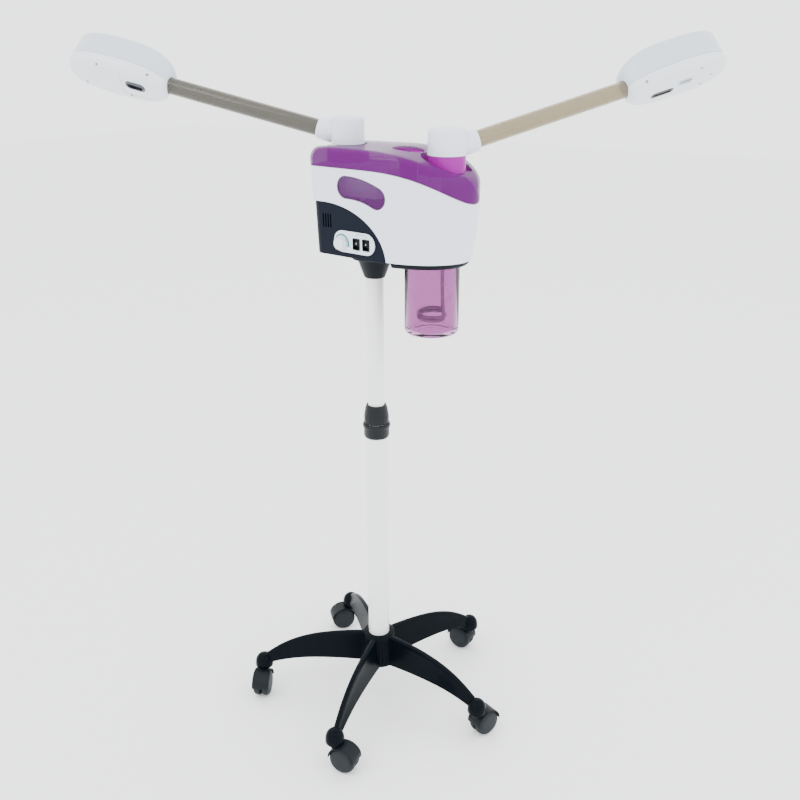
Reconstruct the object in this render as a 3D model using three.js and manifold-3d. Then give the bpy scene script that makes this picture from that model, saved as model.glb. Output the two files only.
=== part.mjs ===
// Facial steamer on a five-star wheeled stand: a casing with a boiling jar below it, a cold-mist
// tank inside it, and two swinging arms that carry the steam heads.
// Millimetres, +Z up. +X runs from the column towards the casing's nose, -Y is the control side.
import * as THREE from 'three';
import { mergeVertices } from 'three/addons/utils/BufferGeometryUtils.js';
import Module from 'manifold-3d';

const wasm = await Module();
wasm.setup();

// ---------------------------------------------------------------- driving dimensions
const GAP = 0.3;                       // clearance kept where two pieces touch

const STAR_RADIUS = 219;               // column axis to caster stem
const STAR_FIRST_LEG = 66.4;           // azimuth of the first leg, degrees
const HUB_BOTTOM = 71;
const HUB_TOP = 131;
const WHEEL_RADIUS = 23.5;
const WHEEL_TRAIL = 18;
const CASTER_HEADINGS = [175.2, 227.3, 294.9, 5.3, 69.5];

const LOWER_TUBE_RADIUS = 19;
const UPPER_TUBE_RADIUS = 14;
const LOWER_TUBE_TOP = 555;
const UPPER_TUBE_BOTTOM = 323;
const SOCKET_BOTTOM = 805;             // mouth of the casing's cone socket

const CASING_BOTTOM = 841;
const SHELL_BOTTOM = 849;
const REAR_X = -81.5;                   // flat rear end at the bottom of the casing
const NOSE_CENTRE_X = 68;              // centre of the nose's half ellipse
const NOSE_LENGTH = 98;
const HALF_WIDTH = 70.5;
const WALL = 3;

const JAR_X = 106;
const JAR_RADIUS = 43;
const JAR_BOTTOM = 730;
const JAR_RIM = 872;

const TUBE_RADIUS = 13;
const SPOUT_END = 48;                  // along the arm, from the elbow's axis
const TUBE_START = 26;                 // along the arm, from the elbow's axis
const HEAD_LENGTH = 169;
const HEAD_HALF_WIDTH = 38;
const HEAD_TOP = 38.5;                   // above the arm's axis
const HEAD_BOTTOM = -22;
const ARMS = [
  {
    side: 'left', x: -47, base: 1011.2, top: 1053, axis: 1023, radius: 26.5,
    azimuth: 199.8, pitch: 14, reach: 296, roll: 44,
  },
  {
    side: 'right', x: 129, base: 1004, top: 1043, axis: 1012, radius: 29,
    azimuth: 47, pitch: 15.8, reach: 290, roll: -38,
  },
];

// ---------------------------------------------------------------- finishes
const finish = (color, roughness, metalness = 0, opacity = 1) =>
  new THREE.MeshStandardMaterial({ color, roughness, metalness, opacity, transparent: opacity < 1 });

const whitePlastic = finish(0xf1f3f7, 0.3);
const blackPlastic = finish(0x14181a, 0.3);
const navyPlastic = finish(0x14202e, 0.45);
const purplePlastic = finish(0x8c3aa8, 0.15, 0, 0.6);
const pinkGlass = finish(0xc9a0c6, 0.08, 0, 0.4);
const smokedTube = finish(0x8a8678, 0.12, 0, 0.55);
const whitePaint = finish(0xf4f4f2, 0.3);
const chrome = finish(0xd8dadc, 0.12, 1);
const steel = finish(0x8d9194, 0.4, 1);
const treadPlastic = finish(0x3a4144, 0.6);
const paleGraphic = finish(0xdfeaf2, 0.35);
const whiteRubber = finish(0xe6e2dc, 0.7);
const greenBoard = finish(0x1f5b3a, 0.5);

// ---------------------------------------------------------------- solids
const radians = THREE.MathUtils.degToRad;

// A closed geometry as a solid: only its positions kept, shared corners merged, faces outward.
function solid(geometry, matrix) {
  const bare = geometry.clone();
  bare.deleteAttribute('normal');
  bare.deleteAttribute('uv');
  if (matrix) bare.applyMatrix4(matrix);
  const merged = mergeVertices(bare, 1e-4);
  const place = merged.attributes.position;
  const corners = [];
  let volume = 0;
  const a = new THREE.Vector3();
  const b = new THREE.Vector3();
  const c = new THREE.Vector3();
  for (let i = 0; i < merged.index.count; i += 3) {
    const [p, q, r] = [0, 1, 2].map((k) => merged.index.getX(i + k));
    if (p === q || q === r || r === p) continue;
    a.fromBufferAttribute(place, p);
    b.fromBufferAttribute(place, q);
    c.fromBufferAttribute(place, r);
    volume += a.dot(b.cross(c));
    corners.push([p, q, r]);
  }
  const triVerts = corners.flatMap(([p, q, r]) => (volume < 0 ? [p, r, q] : [p, q, r]));
  return new wasm.Manifold(new wasm.Mesh({
    numProp: 3,
    vertProperties: new Float32Array(place.array),
    triVerts: new Uint32Array(triVerts),
  }));
}

const join = (first, ...others) => others.reduce((whole, body) => whole.add(body), first);
const cut = (first, ...others) => others.reduce((whole, body) => whole.subtract(body), first);

// Adds a solid to a group as one named sub-part.
function addPart(group, name, body, material) {
  const { vertProperties, triVerts } = body.getMesh();
  const geometry = new THREE.BufferGeometry();
  geometry.setAttribute('position', new THREE.BufferAttribute(new Float32Array(vertProperties), 3));
  geometry.setIndex(new THREE.BufferAttribute(new Uint32Array(triVerts), 1));
  geometry.computeVertexNormals();
  const mesh = new THREE.Mesh(geometry, material);
  mesh.name = name;
  group.add(mesh);
  return mesh;
}

// Profile of [radius, height] pairs, outside upwards, turned about the vertical at (x, y).
function turned(profile, sides = 24, x = 0, y = 0) {
  const points = profile.map(([radius, height]) => new THREE.Vector2(radius, height));
  const turn = new THREE.Matrix4().makeRotationX(Math.PI / 2);
  turn.premultiply(new THREE.Matrix4().makeTranslation(x, y, 0));
  return solid(new THREE.LatheGeometry(points, sides), turn);
}

const post = (radius, low, high, sides = 24, x = 0, y = 0) =>
  turned([[0, low], [radius, low], [radius, high], [0, high]], sides, x, y);

// The same profile turned about the X axis, with its heights measured along X.
function turnedAlongX(profile, sides, matrix = new THREE.Matrix4()) {
  const points = profile.map(([radius, height]) => new THREE.Vector2(radius, height));
  const turn = matrix.clone().multiply(new THREE.Matrix4().makeRotationZ(-Math.PI / 2));
  return solid(new THREE.LatheGeometry(points, sides), turn);
}

const block = (x0, x1, y0, y1, z0, z1) => solid(
  new THREE.BoxGeometry(x1 - x0, y1 - y0, z1 - z0),
  new THREE.Matrix4().makeTranslation((x0 + x1) / 2, (y0 + y1) / 2, (z0 + z1) / 2),
);

const extruded = (shape, low, high, segments = 6) => solid(
  new THREE.ExtrudeGeometry(shape, { depth: high - low, bevelEnabled: false, curveSegments: segments }),
  new THREE.Matrix4().makeTranslation(0, 0, low),
);

// An outline drawn in X and Z, extruded across the casing or caster along Y.
const extrudedAcross = (shape, y0, y1, segments = 10) => solid(
  new THREE.ExtrudeGeometry(shape, { depth: y1 - y0, bevelEnabled: false, curveSegments: segments }),
  new THREE.Matrix4().makeRotationX(Math.PI / 2).setPosition(0, y1, 0),
);

// A skin through equal rings of [x, y, z] points, each closed across by zipping its two halves.
function loft(rings, matrix) {
  const count = rings[0].length;
  const index = [];
  for (let k = 0; k + 1 < rings.length; k += 1) {
    for (let i = 0; i < count; i += 1) {
      const j = (i + 1) % count;
      const low = k * count;
      const high = low + count;
      index.push(low + i, low + j, high + j, low + i, high + j, high + i);
    }
  }
  const top = (rings.length - 1) * count;
  for (let i = 0; 2 * i + 2 < count; i += 1) {
    const j = count - 1 - i;
    index.push(i, j, j - 1, i, j - 1, i + 1);
    index.push(top + i, top + i + 1, top + j - 1, top + i, top + j - 1, top + j);
  }
  const geometry = new THREE.BufferGeometry();
  geometry.setAttribute('position', new THREE.Float32BufferAttribute(rings.flat(2), 3));
  geometry.setIndex(index);
  return solid(geometry, matrix);
}

// A ring from the half outline on the -Y side: out along it to the tip, back along its mirror.
function mirroredRing(half, heightAt) {
  const tip = half.length - 1;
  const back = half.slice(0, tip).reverse();
  return [
    ...half.map(([x, y]) => [x, y, heightAt(x)]),
    ...back.map(([x, y]) => [x, -y, heightAt(x)]),
  ];
}

function stadium(length, width) {
  const shape = new THREE.Shape();
  const reach = (length - width) / 2;
  shape.absarc(reach, 0, width / 2, -Math.PI / 2, Math.PI / 2, false);
  shape.absarc(-reach, 0, width / 2, Math.PI / 2, Math.PI * 1.5, false);
  shape.closePath();
  return shape;
}

function roundedRect(x0, x1, y0, y1, radius) {
  const shape = new THREE.Shape();
  shape.absarc(x1 - radius, y0 + radius, radius, -Math.PI / 2, 0, false);
  shape.absarc(x1 - radius, y1 - radius, radius, 0, Math.PI / 2, false);
  shape.absarc(x0 + radius, y1 - radius, radius, Math.PI / 2, Math.PI, false);
  shape.absarc(x0 + radius, y0 + radius, radius, Math.PI, Math.PI * 1.5, false);
  shape.closePath();
  return shape;
}

const steamer = new THREE.Group();

// ---------------------------------------------------------------- star base
// One moulding: a hub that takes the column, five arched blades and a domed stem socket on each.
const LEG_STATIONS = [
  // distance from the axis, underside, ridge, half width below, half width of the ridge
  [16, 74, 129, 14, 6],
  [45, 75, 129, 13.5, 5],
  [80, 76, 127, 12.5, 4.5],
  [115, 76, 122.5, 11.5, 4.5],
  [148, 74, 114, 10.5, 4.5],
  [178, 69, 101, 9.5, 4.5],
  [203, 62, 85, 8.5, 4.5],
  [216, 57, 75, 7.5, 4.5],
];

function starLeg(azimuth) {
  const rings = LEG_STATIONS.map(([r, low, high, wide, narrow]) => {
    const shoulder = high - 5;
    const half = [[wide, low], [wide * 0.93, low + 8], [narrow, shoulder], [narrow * 0.55, high]];
    return [
      ...half.map(([y, z]) => [r, y, z]),
      ...half.map(([y, z]) => [r, -y, z]).reverse(),
    ];
  });
  return loft(rings, new THREE.Matrix4().makeRotationZ(radians(azimuth)));
}

const legAzimuths = [0, 1, 2, 3, 4].map((k) => STAR_FIRST_LEG + 72 * k);
const STEM_RADIUS = 4.5;
const STEM_TOP = 66;
const DOME_BOTTOM = 50.5;
const TUBE_SEAT = 84;

function buildStarBase() {
  let base = turned([
    [0, HUB_BOTTOM], [35, HUB_BOTTOM], [33, 100], [29.5, HUB_TOP - 4],
    [27.5, HUB_TOP], [0, HUB_TOP],
  ], 20);
  for (const azimuth of legAzimuths) {
    const x = STAR_RADIUS * Math.cos(radians(azimuth));
    const y = STAR_RADIUS * Math.sin(radians(azimuth));
    const dome = turned([
      [0, DOME_BOTTOM], [16.5, DOME_BOTTOM], [16, 60], [13.8, 69], [9, 74], [0, 76.5],
    ], 12, x, y);
    base = cut(join(base, starLeg(azimuth), dome), post(STEM_RADIUS + GAP, 40, STEM_TOP + 1, 12, x, y));
  }
  return cut(
    base,
    post(LOWER_TUBE_RADIUS + GAP, TUBE_SEAT, 150, 24),
    post(5.4, 60, 100, 12),
    post(13, 60, HUB_BOTTOM + 8, 16),
  );
}
addPart(steamer, 'star_base', buildStarBase(), blackPlastic);

// ---------------------------------------------------------------- casters
// Twin-wheel casters: a hood with its web, boss and stem in one piece, a steel axle, two wheels.
const HOOD_HALF_WIDTH = 15.4;
const HOOD_INNER = 24.3;
const HOOD_OUTER = 26.2;
const AXLE_RADIUS = 3.5;

function buildHood() {
  const band = new THREE.Shape();
  band.absarc(WHEEL_TRAIL, WHEEL_RADIUS, HOOD_OUTER, radians(-16), radians(188), false);
  band.absarc(WHEEL_TRAIL, WHEEL_RADIUS, HOOD_INNER, radians(188), radians(-16), true);
  band.closePath();
  const web = new THREE.Shape();
  web.absarc(WHEEL_TRAIL, WHEEL_RADIUS, 25, 0, Math.PI, false);
  web.absarc(WHEEL_TRAIL, WHEEL_RADIUS, 10, Math.PI, 2 * Math.PI, false);
  web.closePath();
  const wheelWell = post(HOOD_INNER - 0.2, -30, 30, 16);
  const wellTurn = new THREE.Matrix4().makeRotationX(Math.PI / 2);
  wellTurn.setPosition(WHEEL_TRAIL, 0, WHEEL_RADIUS);
  const well = wheelWell.transform(wellTurn.elements);
  const bore = post(AXLE_RADIUS + GAP, -10, 10, 10).transform(wellTurn.elements);
  const boss = cut(post(7.5, 30, DOME_BOTTOM - 1.5, 8), well);
  return cut(join(
    extrudedAcross(band, -HOOD_HALF_WIDTH, HOOD_HALF_WIDTH, 7),
    extrudedAcross(web, -2, 2, 5),
    boss,
    post(STEM_RADIUS, DOME_BOTTOM - 4, STEM_TOP, 8),
  ), bore);
}

// One wheel of the pair, closed on its outer face, turned about the axle along Y.
function buildWheel(side) {
  const profile = [
    [0, 11.8], [AXLE_RADIUS + GAP / 2, 11.8], [AXLE_RADIUS + GAP / 2, 2.5], [WHEEL_RADIUS - 1, 2.5],
    [WHEEL_RADIUS, 4], [WHEEL_RADIUS, 12], [WHEEL_RADIUS - 2.5, 14.6], [0, 15.3],
  ];
  const points = profile.map(([radius, across]) => new THREE.Vector2(radius, across));
  const place = new THREE.Matrix4().makeScale(1, side, 1).setPosition(WHEEL_TRAIL, 0, WHEEL_RADIUS);
  return solid(new THREE.LatheGeometry(points, 16), place);
}

legAzimuths.forEach((azimuth, k) => {
  const caster = new THREE.Group();
  const place = radians(azimuth);
  caster.position.set(STAR_RADIUS * Math.cos(place), STAR_RADIUS * Math.sin(place), 0);
  caster.rotation.z = radians(CASTER_HEADINGS[k]);
  steamer.add(caster);
  const axle = new THREE.Matrix4().makeRotationX(Math.PI / 2);
  axle.setPosition(WHEEL_TRAIL, 0, WHEEL_RADIUS);
  addPart(caster, `caster_hood_${k + 1}`, buildHood(), blackPlastic);
  addPart(caster, `caster_axle_${k + 1}`, post(AXLE_RADIUS, -11.4, 11.4, 8).transform(axle.elements), steel);
  addPart(caster, `caster_wheel_${k + 1}a`, buildWheel(1), treadPlastic);
  addPart(caster, `caster_wheel_${k + 1}b`, buildWheel(-1), treadPlastic);
});

// ---------------------------------------------------------------- column
addPart(steamer, 'hub_bolt', turned([
  [0, HUB_BOTTOM + 1], [9, HUB_BOTTOM + 1], [9, HUB_BOTTOM + 7.7], [5, HUB_BOTTOM + 7.7],
  [5, TUBE_SEAT + 14], [0, TUBE_SEAT + 14],
], 12), steel);

addPart(steamer, 'lower_column_tube', turned([
  [5.4, TUBE_SEAT + GAP], [LOWER_TUBE_RADIUS, TUBE_SEAT + GAP], [LOWER_TUBE_RADIUS, LOWER_TUBE_TOP],
  [17.5, LOWER_TUBE_TOP], [17.5, TUBE_SEAT + 6], [5.4, TUBE_SEAT + 6], [5.4, TUBE_SEAT + GAP],
], 24), whitePaint);

addPart(steamer, 'column_bush', turned([
  [14.2, 503], [17.2, 503], [17.2, LOWER_TUBE_TOP - 0.5], [14.2, LOWER_TUBE_TOP - 0.5], [14.2, 503],
], 20), blackPlastic);

// Clamping collar: the sleeve is fixed on the lower tube, the tapered ring screws down on it.
addPart(steamer, 'collar_sleeve', turned([
  [19.3, 526], [20.4, 526], [21.8, 529], [21.8, 544], [23.5, 545.5], [23.5, 550.5], [22, 551.6],
  [19.3, 551.6], [19.3, 526],
], 24), blackPlastic);

addPart(steamer, 'collar_ring', turned([
  [19.4, 552], [21, 552], [21, 566], [18.8, 579], [16.6, 585], [14.3, 585], [14.3, 556], [19.4, 556],
  [19.4, 552],
], 24), blackPlastic);

addPart(steamer, 'upper_column_tube', turned([
  [12.6, UPPER_TUBE_BOTTOM], [UPPER_TUBE_RADIUS, UPPER_TUBE_BOTTOM],
  [UPPER_TUBE_RADIUS, CASING_BOTTOM], [12.6, CASING_BOTTOM], [12.6, UPPER_TUBE_BOTTOM],
], 24), whitePaint);

// ---------------------------------------------------------------- casing outline
// In plan: a flat rear end with round corners, sides that open towards the nose, an elliptical nose.
// The walls lean outwards a little towards the top.
const leanAt = (z) => (z - CASING_BOTTOM) / 140;
const SIDE_FLARE = 0.11;

function casingHalf(z, inset) {
  const lean = leanAt(z);
  const nose = NOSE_LENGTH + 13.5 * (1 - (1 - Math.min(lean, 1)) ** 3) - inset;
  const wide = HALF_WIDTH + 3 * lean - inset;
  const rear = REAR_X - 5 * lean + inset;
  const blendX = NOSE_CENTRE_X - 14.8;
  const blendAngle = Math.asin((blendX - NOSE_CENTRE_X) / nose);
  const blendY = wide * Math.cos(blendAngle);
  const corner = Math.max(20 - inset, 4);
  const sideAt = (x) => blendY - SIDE_FLARE * (blendX - x);
  const half = [];
  for (let k = 0; k <= 4; k += 1) {
    const turn = (Math.PI / 2) * (k / 4);
    const x = rear + corner * (1 - Math.sin(turn));
    half.push([x, -(sideAt(rear + corner) - corner * (1 - Math.cos(turn)))]);
  }
  half.reverse();
  half.sort((p, q) => p[0] - q[0]);
  half.push([-20, -sideAt(-20)], [18, -sideAt(18)]);
  for (let k = 0; k <= 11; k += 1) {
    const turn = blendAngle + (Math.PI / 2 - blendAngle) * (k / 11);
    half.push([NOSE_CENTRE_X + nose * Math.sin(turn), k === 11 ? 0 : -wide * Math.cos(turn)]);
  }
  return half;
}

const casingRing = (z, inset) => mirroredRing(casingHalf(z, inset), () => z);
const casingBlock = (low, high, inset) => loft([casingRing(low, inset), casingRing(high, inset)]);

// Height of the joint between the white shell and the clear cover, falling towards the nose.
const seamAt = (x) => 982.5 - 39 * Math.max(0, (x - 20) / 150) ** 2.8;
const COVER_TOP = 1011.5;
// Height of the cover's top: level over the rear, rolling down at the nose and at the rear edge.
const coverTopAt = (x) => {
  const fall = 36 * Math.max(0, (x - 20) / 150) ** 2.3;
  const roll = x < -62 ? 24 - Math.sqrt(Math.max(0, 24 ** 2 - (x + 62) ** 2)) : 0;
  return COVER_TOP - fall - roll;
};

// Everything below (or above) the seam, as a slice across the whole casing.
function seamSlice(level, offset) {
  const shape = new THREE.Shape();
  shape.moveTo(-110, level);
  shape.lineTo(200, level);
  for (let k = 0; k <= 10; k += 1) {
    const x = 200 - (180 * k) / 10;
    shape.lineTo(x, seamAt(x) + offset);
  }
  shape.lineTo(-110, seamAt(0) + offset);
  shape.closePath();
  return extrudedAcross(shape, -100, 100);
}

// The quarter-ellipse region at the lower rear where the dark housing shows.
function housingSlice(grow) {
  const shape = new THREE.Shape();
  shape.moveTo(-120, 823);
  shape.lineTo(66 + grow, 823);
  for (let k = 0; k <= 10; k += 1) {
    const turn = (Math.PI / 2) * (k / 10);
    shape.lineTo(-55 + (121 + grow) * Math.cos(turn), 845 + (84.5 + grow) * Math.sin(turn));
  }
  shape.lineTo(-120, 929.5 + grow);
  shape.closePath();
  return extrudedAcross(shape, -100, 100);
}

// Bean-shaped level window in the control side: two round ends joined by a drooping band.
const WINDOW_ENDS = [[-8, 955, 17.5], [50, 943.5, 17]];
function windowSlice(grow) {
  const [[x0, z0, r0], [x1, z1, r1]] = WINDOW_ENDS;
  const shape = new THREE.Shape();
  shape.absarc(x0, z0, r0 + grow, radians(80), radians(258), false);
  shape.quadraticCurveTo(22, 938 - grow, x1 - 9, z1 - r1 - grow + 2);
  shape.absarc(x1, z1, r1 + grow, radians(250), radians(422), false);
  shape.quadraticCurveTo(26, 972 + grow, x0 + 3, z0 + r0 + grow - 0.3);
  shape.closePath();
  return extrudedAcross(shape, -100, -40, 7);
}

// ---------------------------------------------------------------- control panel's frame
// It lies on the housing's side face: its X runs along the face, its Y up, its Z out of it.
const PANEL_CENTRE = { x: 4, z: 871.5 };
const SWITCHES = [[5, -1.5], [24, -1]];
const KNOB_CENTRE = [-25, -3];
const HOUSING_INSET = 3.8;

function housingFaceY(x, z) {
  const half = casingHalf(z, HOUSING_INSET);
  const k = half.findIndex((point) => point[0] > x);
  const [[x0, y0], [x1, y1]] = [half[k - 1], half[k]];
  return y0 + ((y1 - y0) * (x - x0)) / (x1 - x0);
}

const panelOut = new THREE.Vector3(-SIDE_FLARE, -1, -3 / 140).normalize();
const panelAlong = new THREE.Vector3(1, -SIDE_FLARE, 0).normalize();
const panelUp = new THREE.Vector3().crossVectors(panelOut, panelAlong);
const panelFrame = new THREE.Matrix4().makeBasis(panelAlong, panelUp, panelOut);
panelFrame.setPosition(PANEL_CENTRE.x, housingFaceY(PANEL_CENTRE.x, PANEL_CENTRE.z), PANEL_CENTRE.z);

// ---------------------------------------------------------------- casing
function buildTray() {
  const nose = loft([
    casingRing(CASING_BOTTOM, 6), casingRing(CASING_BOTTOM + 3, 2.5), casingRing(SHELL_BOTTOM - GAP, 2.5),
  ]).intersect(block(73, 200, -90, 90, 800, 900));
  const rear = casingBlock(SHELL_BOTTOM - 4, SHELL_BOTTOM - GAP, 8.5);
  const socket = turned([
    [0, SOCKET_BOTTOM], [16.5, SOCKET_BOTTOM], [17.5, SOCKET_BOTTOM + 2], [27.5, 835],
    [36, 836.5], [38, 838.5], [38, 846], [24, 846], [24, 857], [0, 857],
  ], 24);
  return cut(
    join(rear, nose, socket),
    post(UPPER_TUBE_RADIUS + GAP, 783, CASING_BOTTOM + GAP, 24),
    post(JAR_RADIUS + 1.5, 833, 853, 28, JAR_X),
  );
}

function buildWhiteShell() {
  const outer = casingBlock(SHELL_BOTTOM, 987, 0);
  const inner = casingBlock(SHELL_BOTTOM - 1, 988, WALL);
  const wall = cut(outer, inner).intersect(seamSlice(833, -GAP / 2));
  return cut(wall, housingSlice(0), windowSlice(0));
}

function buildHousing() {
  const outer = casingBlock(SHELL_BOTTOM - 2.7, 943, HOUSING_INSET);
  const inner = casingBlock(SHELL_BOTTOM - 4, 944, HOUSING_INSET + WALL);
  const wall = cut(outer, inner).intersect(housingSlice(6));
  const slots = [0, 1, 2, 3].map((k) => block(-60 + 5 * k, -57.4 + 5 * k, -80, -40, 889, 911));
  const inletHole = block(-90, -60, -14, 14, 859, 880);
  const switchHoles = SWITCHES.map(([x, y]) =>
    extruded(roundedRect(x - 6.2, x + 6.2, y - 8.3, y + 8.3, 0.6), -8, 5, 1));
  const shaftHole = post(3.4, -8, 5, 12, ...KNOB_CENTRE);
  const panelHoles = join(...switchHoles, shaftHole).transform(panelFrame.elements);
  return cut(wall, ...slots, inletHole, panelHoles);
}

const CUP = { x: ARMS[0].x, radius: 31, floor: 988 };
const RECESS = { x: ARMS[1].x, radius: 39, floor: 980 };
const FUNNEL = { x: 63, rim: 25 };

// The clear cover with the rear elbow's cup, the nose recess with its collar, and the funnel.
function buildCover() {
  const skin = (inset, drop) => {
    const rings = [mirroredRing(casingHalf(928, inset), () => 928)];
    for (const turn of [0, 45, 90]) {
      const inward = inset + 9 * (1 - Math.cos(radians(turn)));
      const down = drop + 9 * (1 - Math.sin(radians(turn)));
      rings.push(mirroredRing(casingHalf(1003, inward), (x) => coverTopAt(x) - down));
    }
    return loft(rings);
  };
  const outer = skin(0, 0);
  const shell = cut(outer, skin(WALL, WALL), seamSlice(833, GAP / 2));
  const cup = post(CUP.radius + 2.5, CUP.floor - 2.5, 1023, 24, CUP.x);
  const pan = post(RECESS.radius + 2.5, RECESS.floor - 3, 1023, 24, RECESS.x);
  const funnel = turned([[0, 958], [12, 958], [14, 991], [27, 1002], [27, 1023], [0, 1023]], 24, FUNNEL.x);
  const fittings = join(cup, pan, funnel).intersect(outer);
  const hollows = [
    post(CUP.radius, CUP.floor, 1033, 24, CUP.x),
    post(RECESS.radius, RECESS.floor, 1033, 24, RECESS.x),
    turned([[0, 953], [10, 953], [12, 992], [24.5, 1003], [24.5, 1033], [0, 1033]], 24, FUNNEL.x),
  ];
  const collar = post(ARMS[1].radius - 0.5, RECESS.floor - 3, ARMS[1].base - GAP, 24, RECESS.x);
  const bores = [
    post(15.6, 963, 1033, 20, CUP.x),
    post(16.5, 963, 1033, 20, RECESS.x),
  ];
  return cut(join(cut(join(shell, fittings), ...hollows), collar), ...bores);
}

function buildWindow() {
  const outer = casingBlock(913, 979, 0.4);
  const inner = casingBlock(912, 980, WALL);
  return cut(outer, inner).intersect(windowSlice(-GAP));
}

addPart(steamer, 'casing_tray', buildTray(), blackPlastic);
addPart(steamer, 'white_shell', buildWhiteShell(), whitePlastic);
addPart(steamer, 'lower_housing', buildHousing(), navyPlastic);
addPart(steamer, 'top_cover', buildCover(), purplePlastic);
addPart(steamer, 'level_window', buildWindow(), purplePlastic);

// ---------------------------------------------------------------- control panel
const panel = new THREE.Group();
panel.applyMatrix4(panelFrame);
steamer.add(panel);

const PLATE_LENGTH = 81;
const PLATE_WIDTH = 33.5;
const PLATE_FACE = 2.2;
const ROCKER_PIVOT = -2;               // behind the housing face

function buildPlate() {
  const holes = SWITCHES.map(([x, y]) =>
    extruded(roundedRect(x - 6.2, x + 6.2, y - 8.3, y + 8.3, 0.6), -5, 5, 1));
  return cut(
    extruded(stadium(PLATE_LENGTH, PLATE_WIDTH), GAP, PLATE_FACE, 6),
    ...holes,
    post(3.4, -5, 5, 12, ...KNOB_CENTRE),
  );
}

// The frame and the box of a rocker switch: the frame stands proud of the plate round the rocker.
function buildSwitchBody(x, y) {
  const frame = extruded(roundedRect(x - 6.9, x + 6.9, y - 9, y + 9, 1), PLATE_FACE + GAP, 3.6, 2);
  const box = extruded(roundedRect(x - 5.9, x + 5.9, y - 8, y + 8, 0.6), -17, 3, 1);
  const well = extruded(roundedRect(x - 5.3, x + 5.3, y - 7.5, y + 7.5, 0.4), -9.5, 5, 1);
  return cut(join(frame, box), well);
}

// A shallow V in front, round behind, so that it can tip on its pivot inside the frame.
const ROCKER_TILT = 9;
function buildRocker() {
  const shape = new THREE.Shape();
  const lift = 5.6;
  shape.moveTo(-6.9, 2.4);
  shape.lineTo(0, lift);
  shape.lineTo(6.9, 2.4);
  shape.absarc(0, 0, 7, radians(16), radians(-196), true);
  shape.closePath();
  const across = new THREE.Matrix4().makeBasis(
    new THREE.Vector3(0, 1, 0), new THREE.Vector3(0, 0, 1), new THREE.Vector3(1, 0, 0),
  ).setPosition(-5, 0, 0);
  return solid(new THREE.ExtrudeGeometry(shape, { depth: 10, bevelEnabled: false, curveSegments: 8 }), across);
}

addPart(panel, 'panel_plate', buildPlate(), paleGraphic);
SWITCHES.forEach(([x, y], k) => {
  addPart(panel, `switch_body_${k + 1}`, buildSwitchBody(x, y), blackPlastic);
  const rocker = addPart(panel, `rocker_${k + 1}`, buildRocker(), blackPlastic);
  rocker.position.set(x, y, ROCKER_PIVOT);
  rocker.rotation.x = radians(ROCKER_TILT);
});

const knob = addPart(panel, 'steam_knob', join(
  turned([[0, 2.6], [11, 2.6], [11, 7], [9.6, 10.2], [8.6, 11.6], [0, 12]], 24),
  post(3, -8, 3, 12),
), whitePlastic);
knob.position.set(...KNOB_CENTRE, 0);

// ---------------------------------------------------------------- inside the casing
addPart(steamer, 'mains_inlet', cut(
  join(block(-82, -56, -13.6, 13.6, 859.4, 879.6), block(-82.4, -79.6, -16, 16, 856.5, 882.5)),
  block(-90, -68, -11, 11, 862, 877),
), blackPlastic);

addPart(steamer, 'cold_mist_tank', cut(
  extruded(roundedRect(-66, 40, -46, 46, 12), 938, 978, 3),
  extruded(roundedRect(-63.5, 37.5, -43.5, 43.5, 10), 941, 983, 3),
), whitePlastic);

addPart(steamer, 'mist_atomiser', turned([
  [0, 927], [14, 927], [14, 934], [10, 937.6], [0, 937.6],
], 16, -30), chrome);

addPart(steamer, 'transformer', block(-54, -12, 0, 40, 857.4, 895), steel);
addPart(steamer, 'circuit_board', block(-58, 40, -32, 40, 901, 902.6), greenBoard);

// The boiler head closes the jar; steam leaves it through the pipe below the front elbow.
addPart(steamer, 'boiler_head', cut(
  turned([
    [0, 876], [47, 876], [47, 885], [40, 895], [30, 905], [14, 917], [13, 975], [0, 975],
  ], 24, JAR_X),
  turned([[0, 873], [30, 873], [30, 887], [9, 913], [9, 983], [0, 983]], 16, JAR_X),
), whitePlastic);

addPart(steamer, 'jar_gasket', turned([
  [36, JAR_RIM + GAP], [44, JAR_RIM + GAP], [44, 875.7], [36, 875.7], [36, JAR_RIM + GAP],
], 24, JAR_X), whiteRubber);

addPart(steamer, 'glass_jar', turned([
  [0, JAR_BOTTOM], [38, JAR_BOTTOM], [42, JAR_BOTTOM + 2], [JAR_RADIUS, JAR_BOTTOM + 6],
  [JAR_RADIUS, JAR_RIM], [JAR_RADIUS - 3.5, JAR_RIM], [JAR_RADIUS - 3.5, JAR_BOTTOM + 8],
  [36, JAR_BOTTOM + 5], [0, JAR_BOTTOM + 5],
], 32, JAR_X), pinkGlass);

// Heater: two legs down from the boiler head into a ring of two turns just above the jar's floor.
function buildHeater() {
  const ring = 22;
  const start = radians(33 + 14);
  const sweep = 4 * Math.PI - radians(28);
  const low = JAR_BOTTOM + 22;
  const points = [];
  const at = (angle, radius, z) =>
    points.push(new THREE.Vector3(JAR_X + radius * Math.cos(angle), radius * Math.sin(angle), z));
  at(start, 17, 886);
  at(start, 17, 843);
  at(start, 17, 798);
  at(start - 0.05, 19, low + 22);
  for (let k = 0; k <= 20; k += 1) {
    at(start + 0.35 + (sweep - 0.7) * (k / 20), ring, low + 9 - 9 * (k / 20));
  }
  at(start + sweep + 0.05, 19, low + 22);
  at(start + sweep, 17, 798);
  at(start + sweep, 17, 843);
  at(start + sweep, 17, 886);
  const route = new THREE.CatmullRomCurve3(points);
  const section = new THREE.Shape();
  section.absarc(0, 0, 3, 0, Math.PI * 2, false);
  return solid(new THREE.ExtrudeGeometry(section, { steps: 46, extrudePath: route, curveSegments: 3 }));
}
addPart(steamer, 'heater_coil', buildHeater(), chrome);

addPart(steamer, 'fill_cap', turned([
  [0, 985], [9, 985], [9, 993], [13, 997], [13, 999], [4, 1000], [3.5, 1007], [0, 1008],
], 20, FUNNEL.x), purplePlastic);

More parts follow.
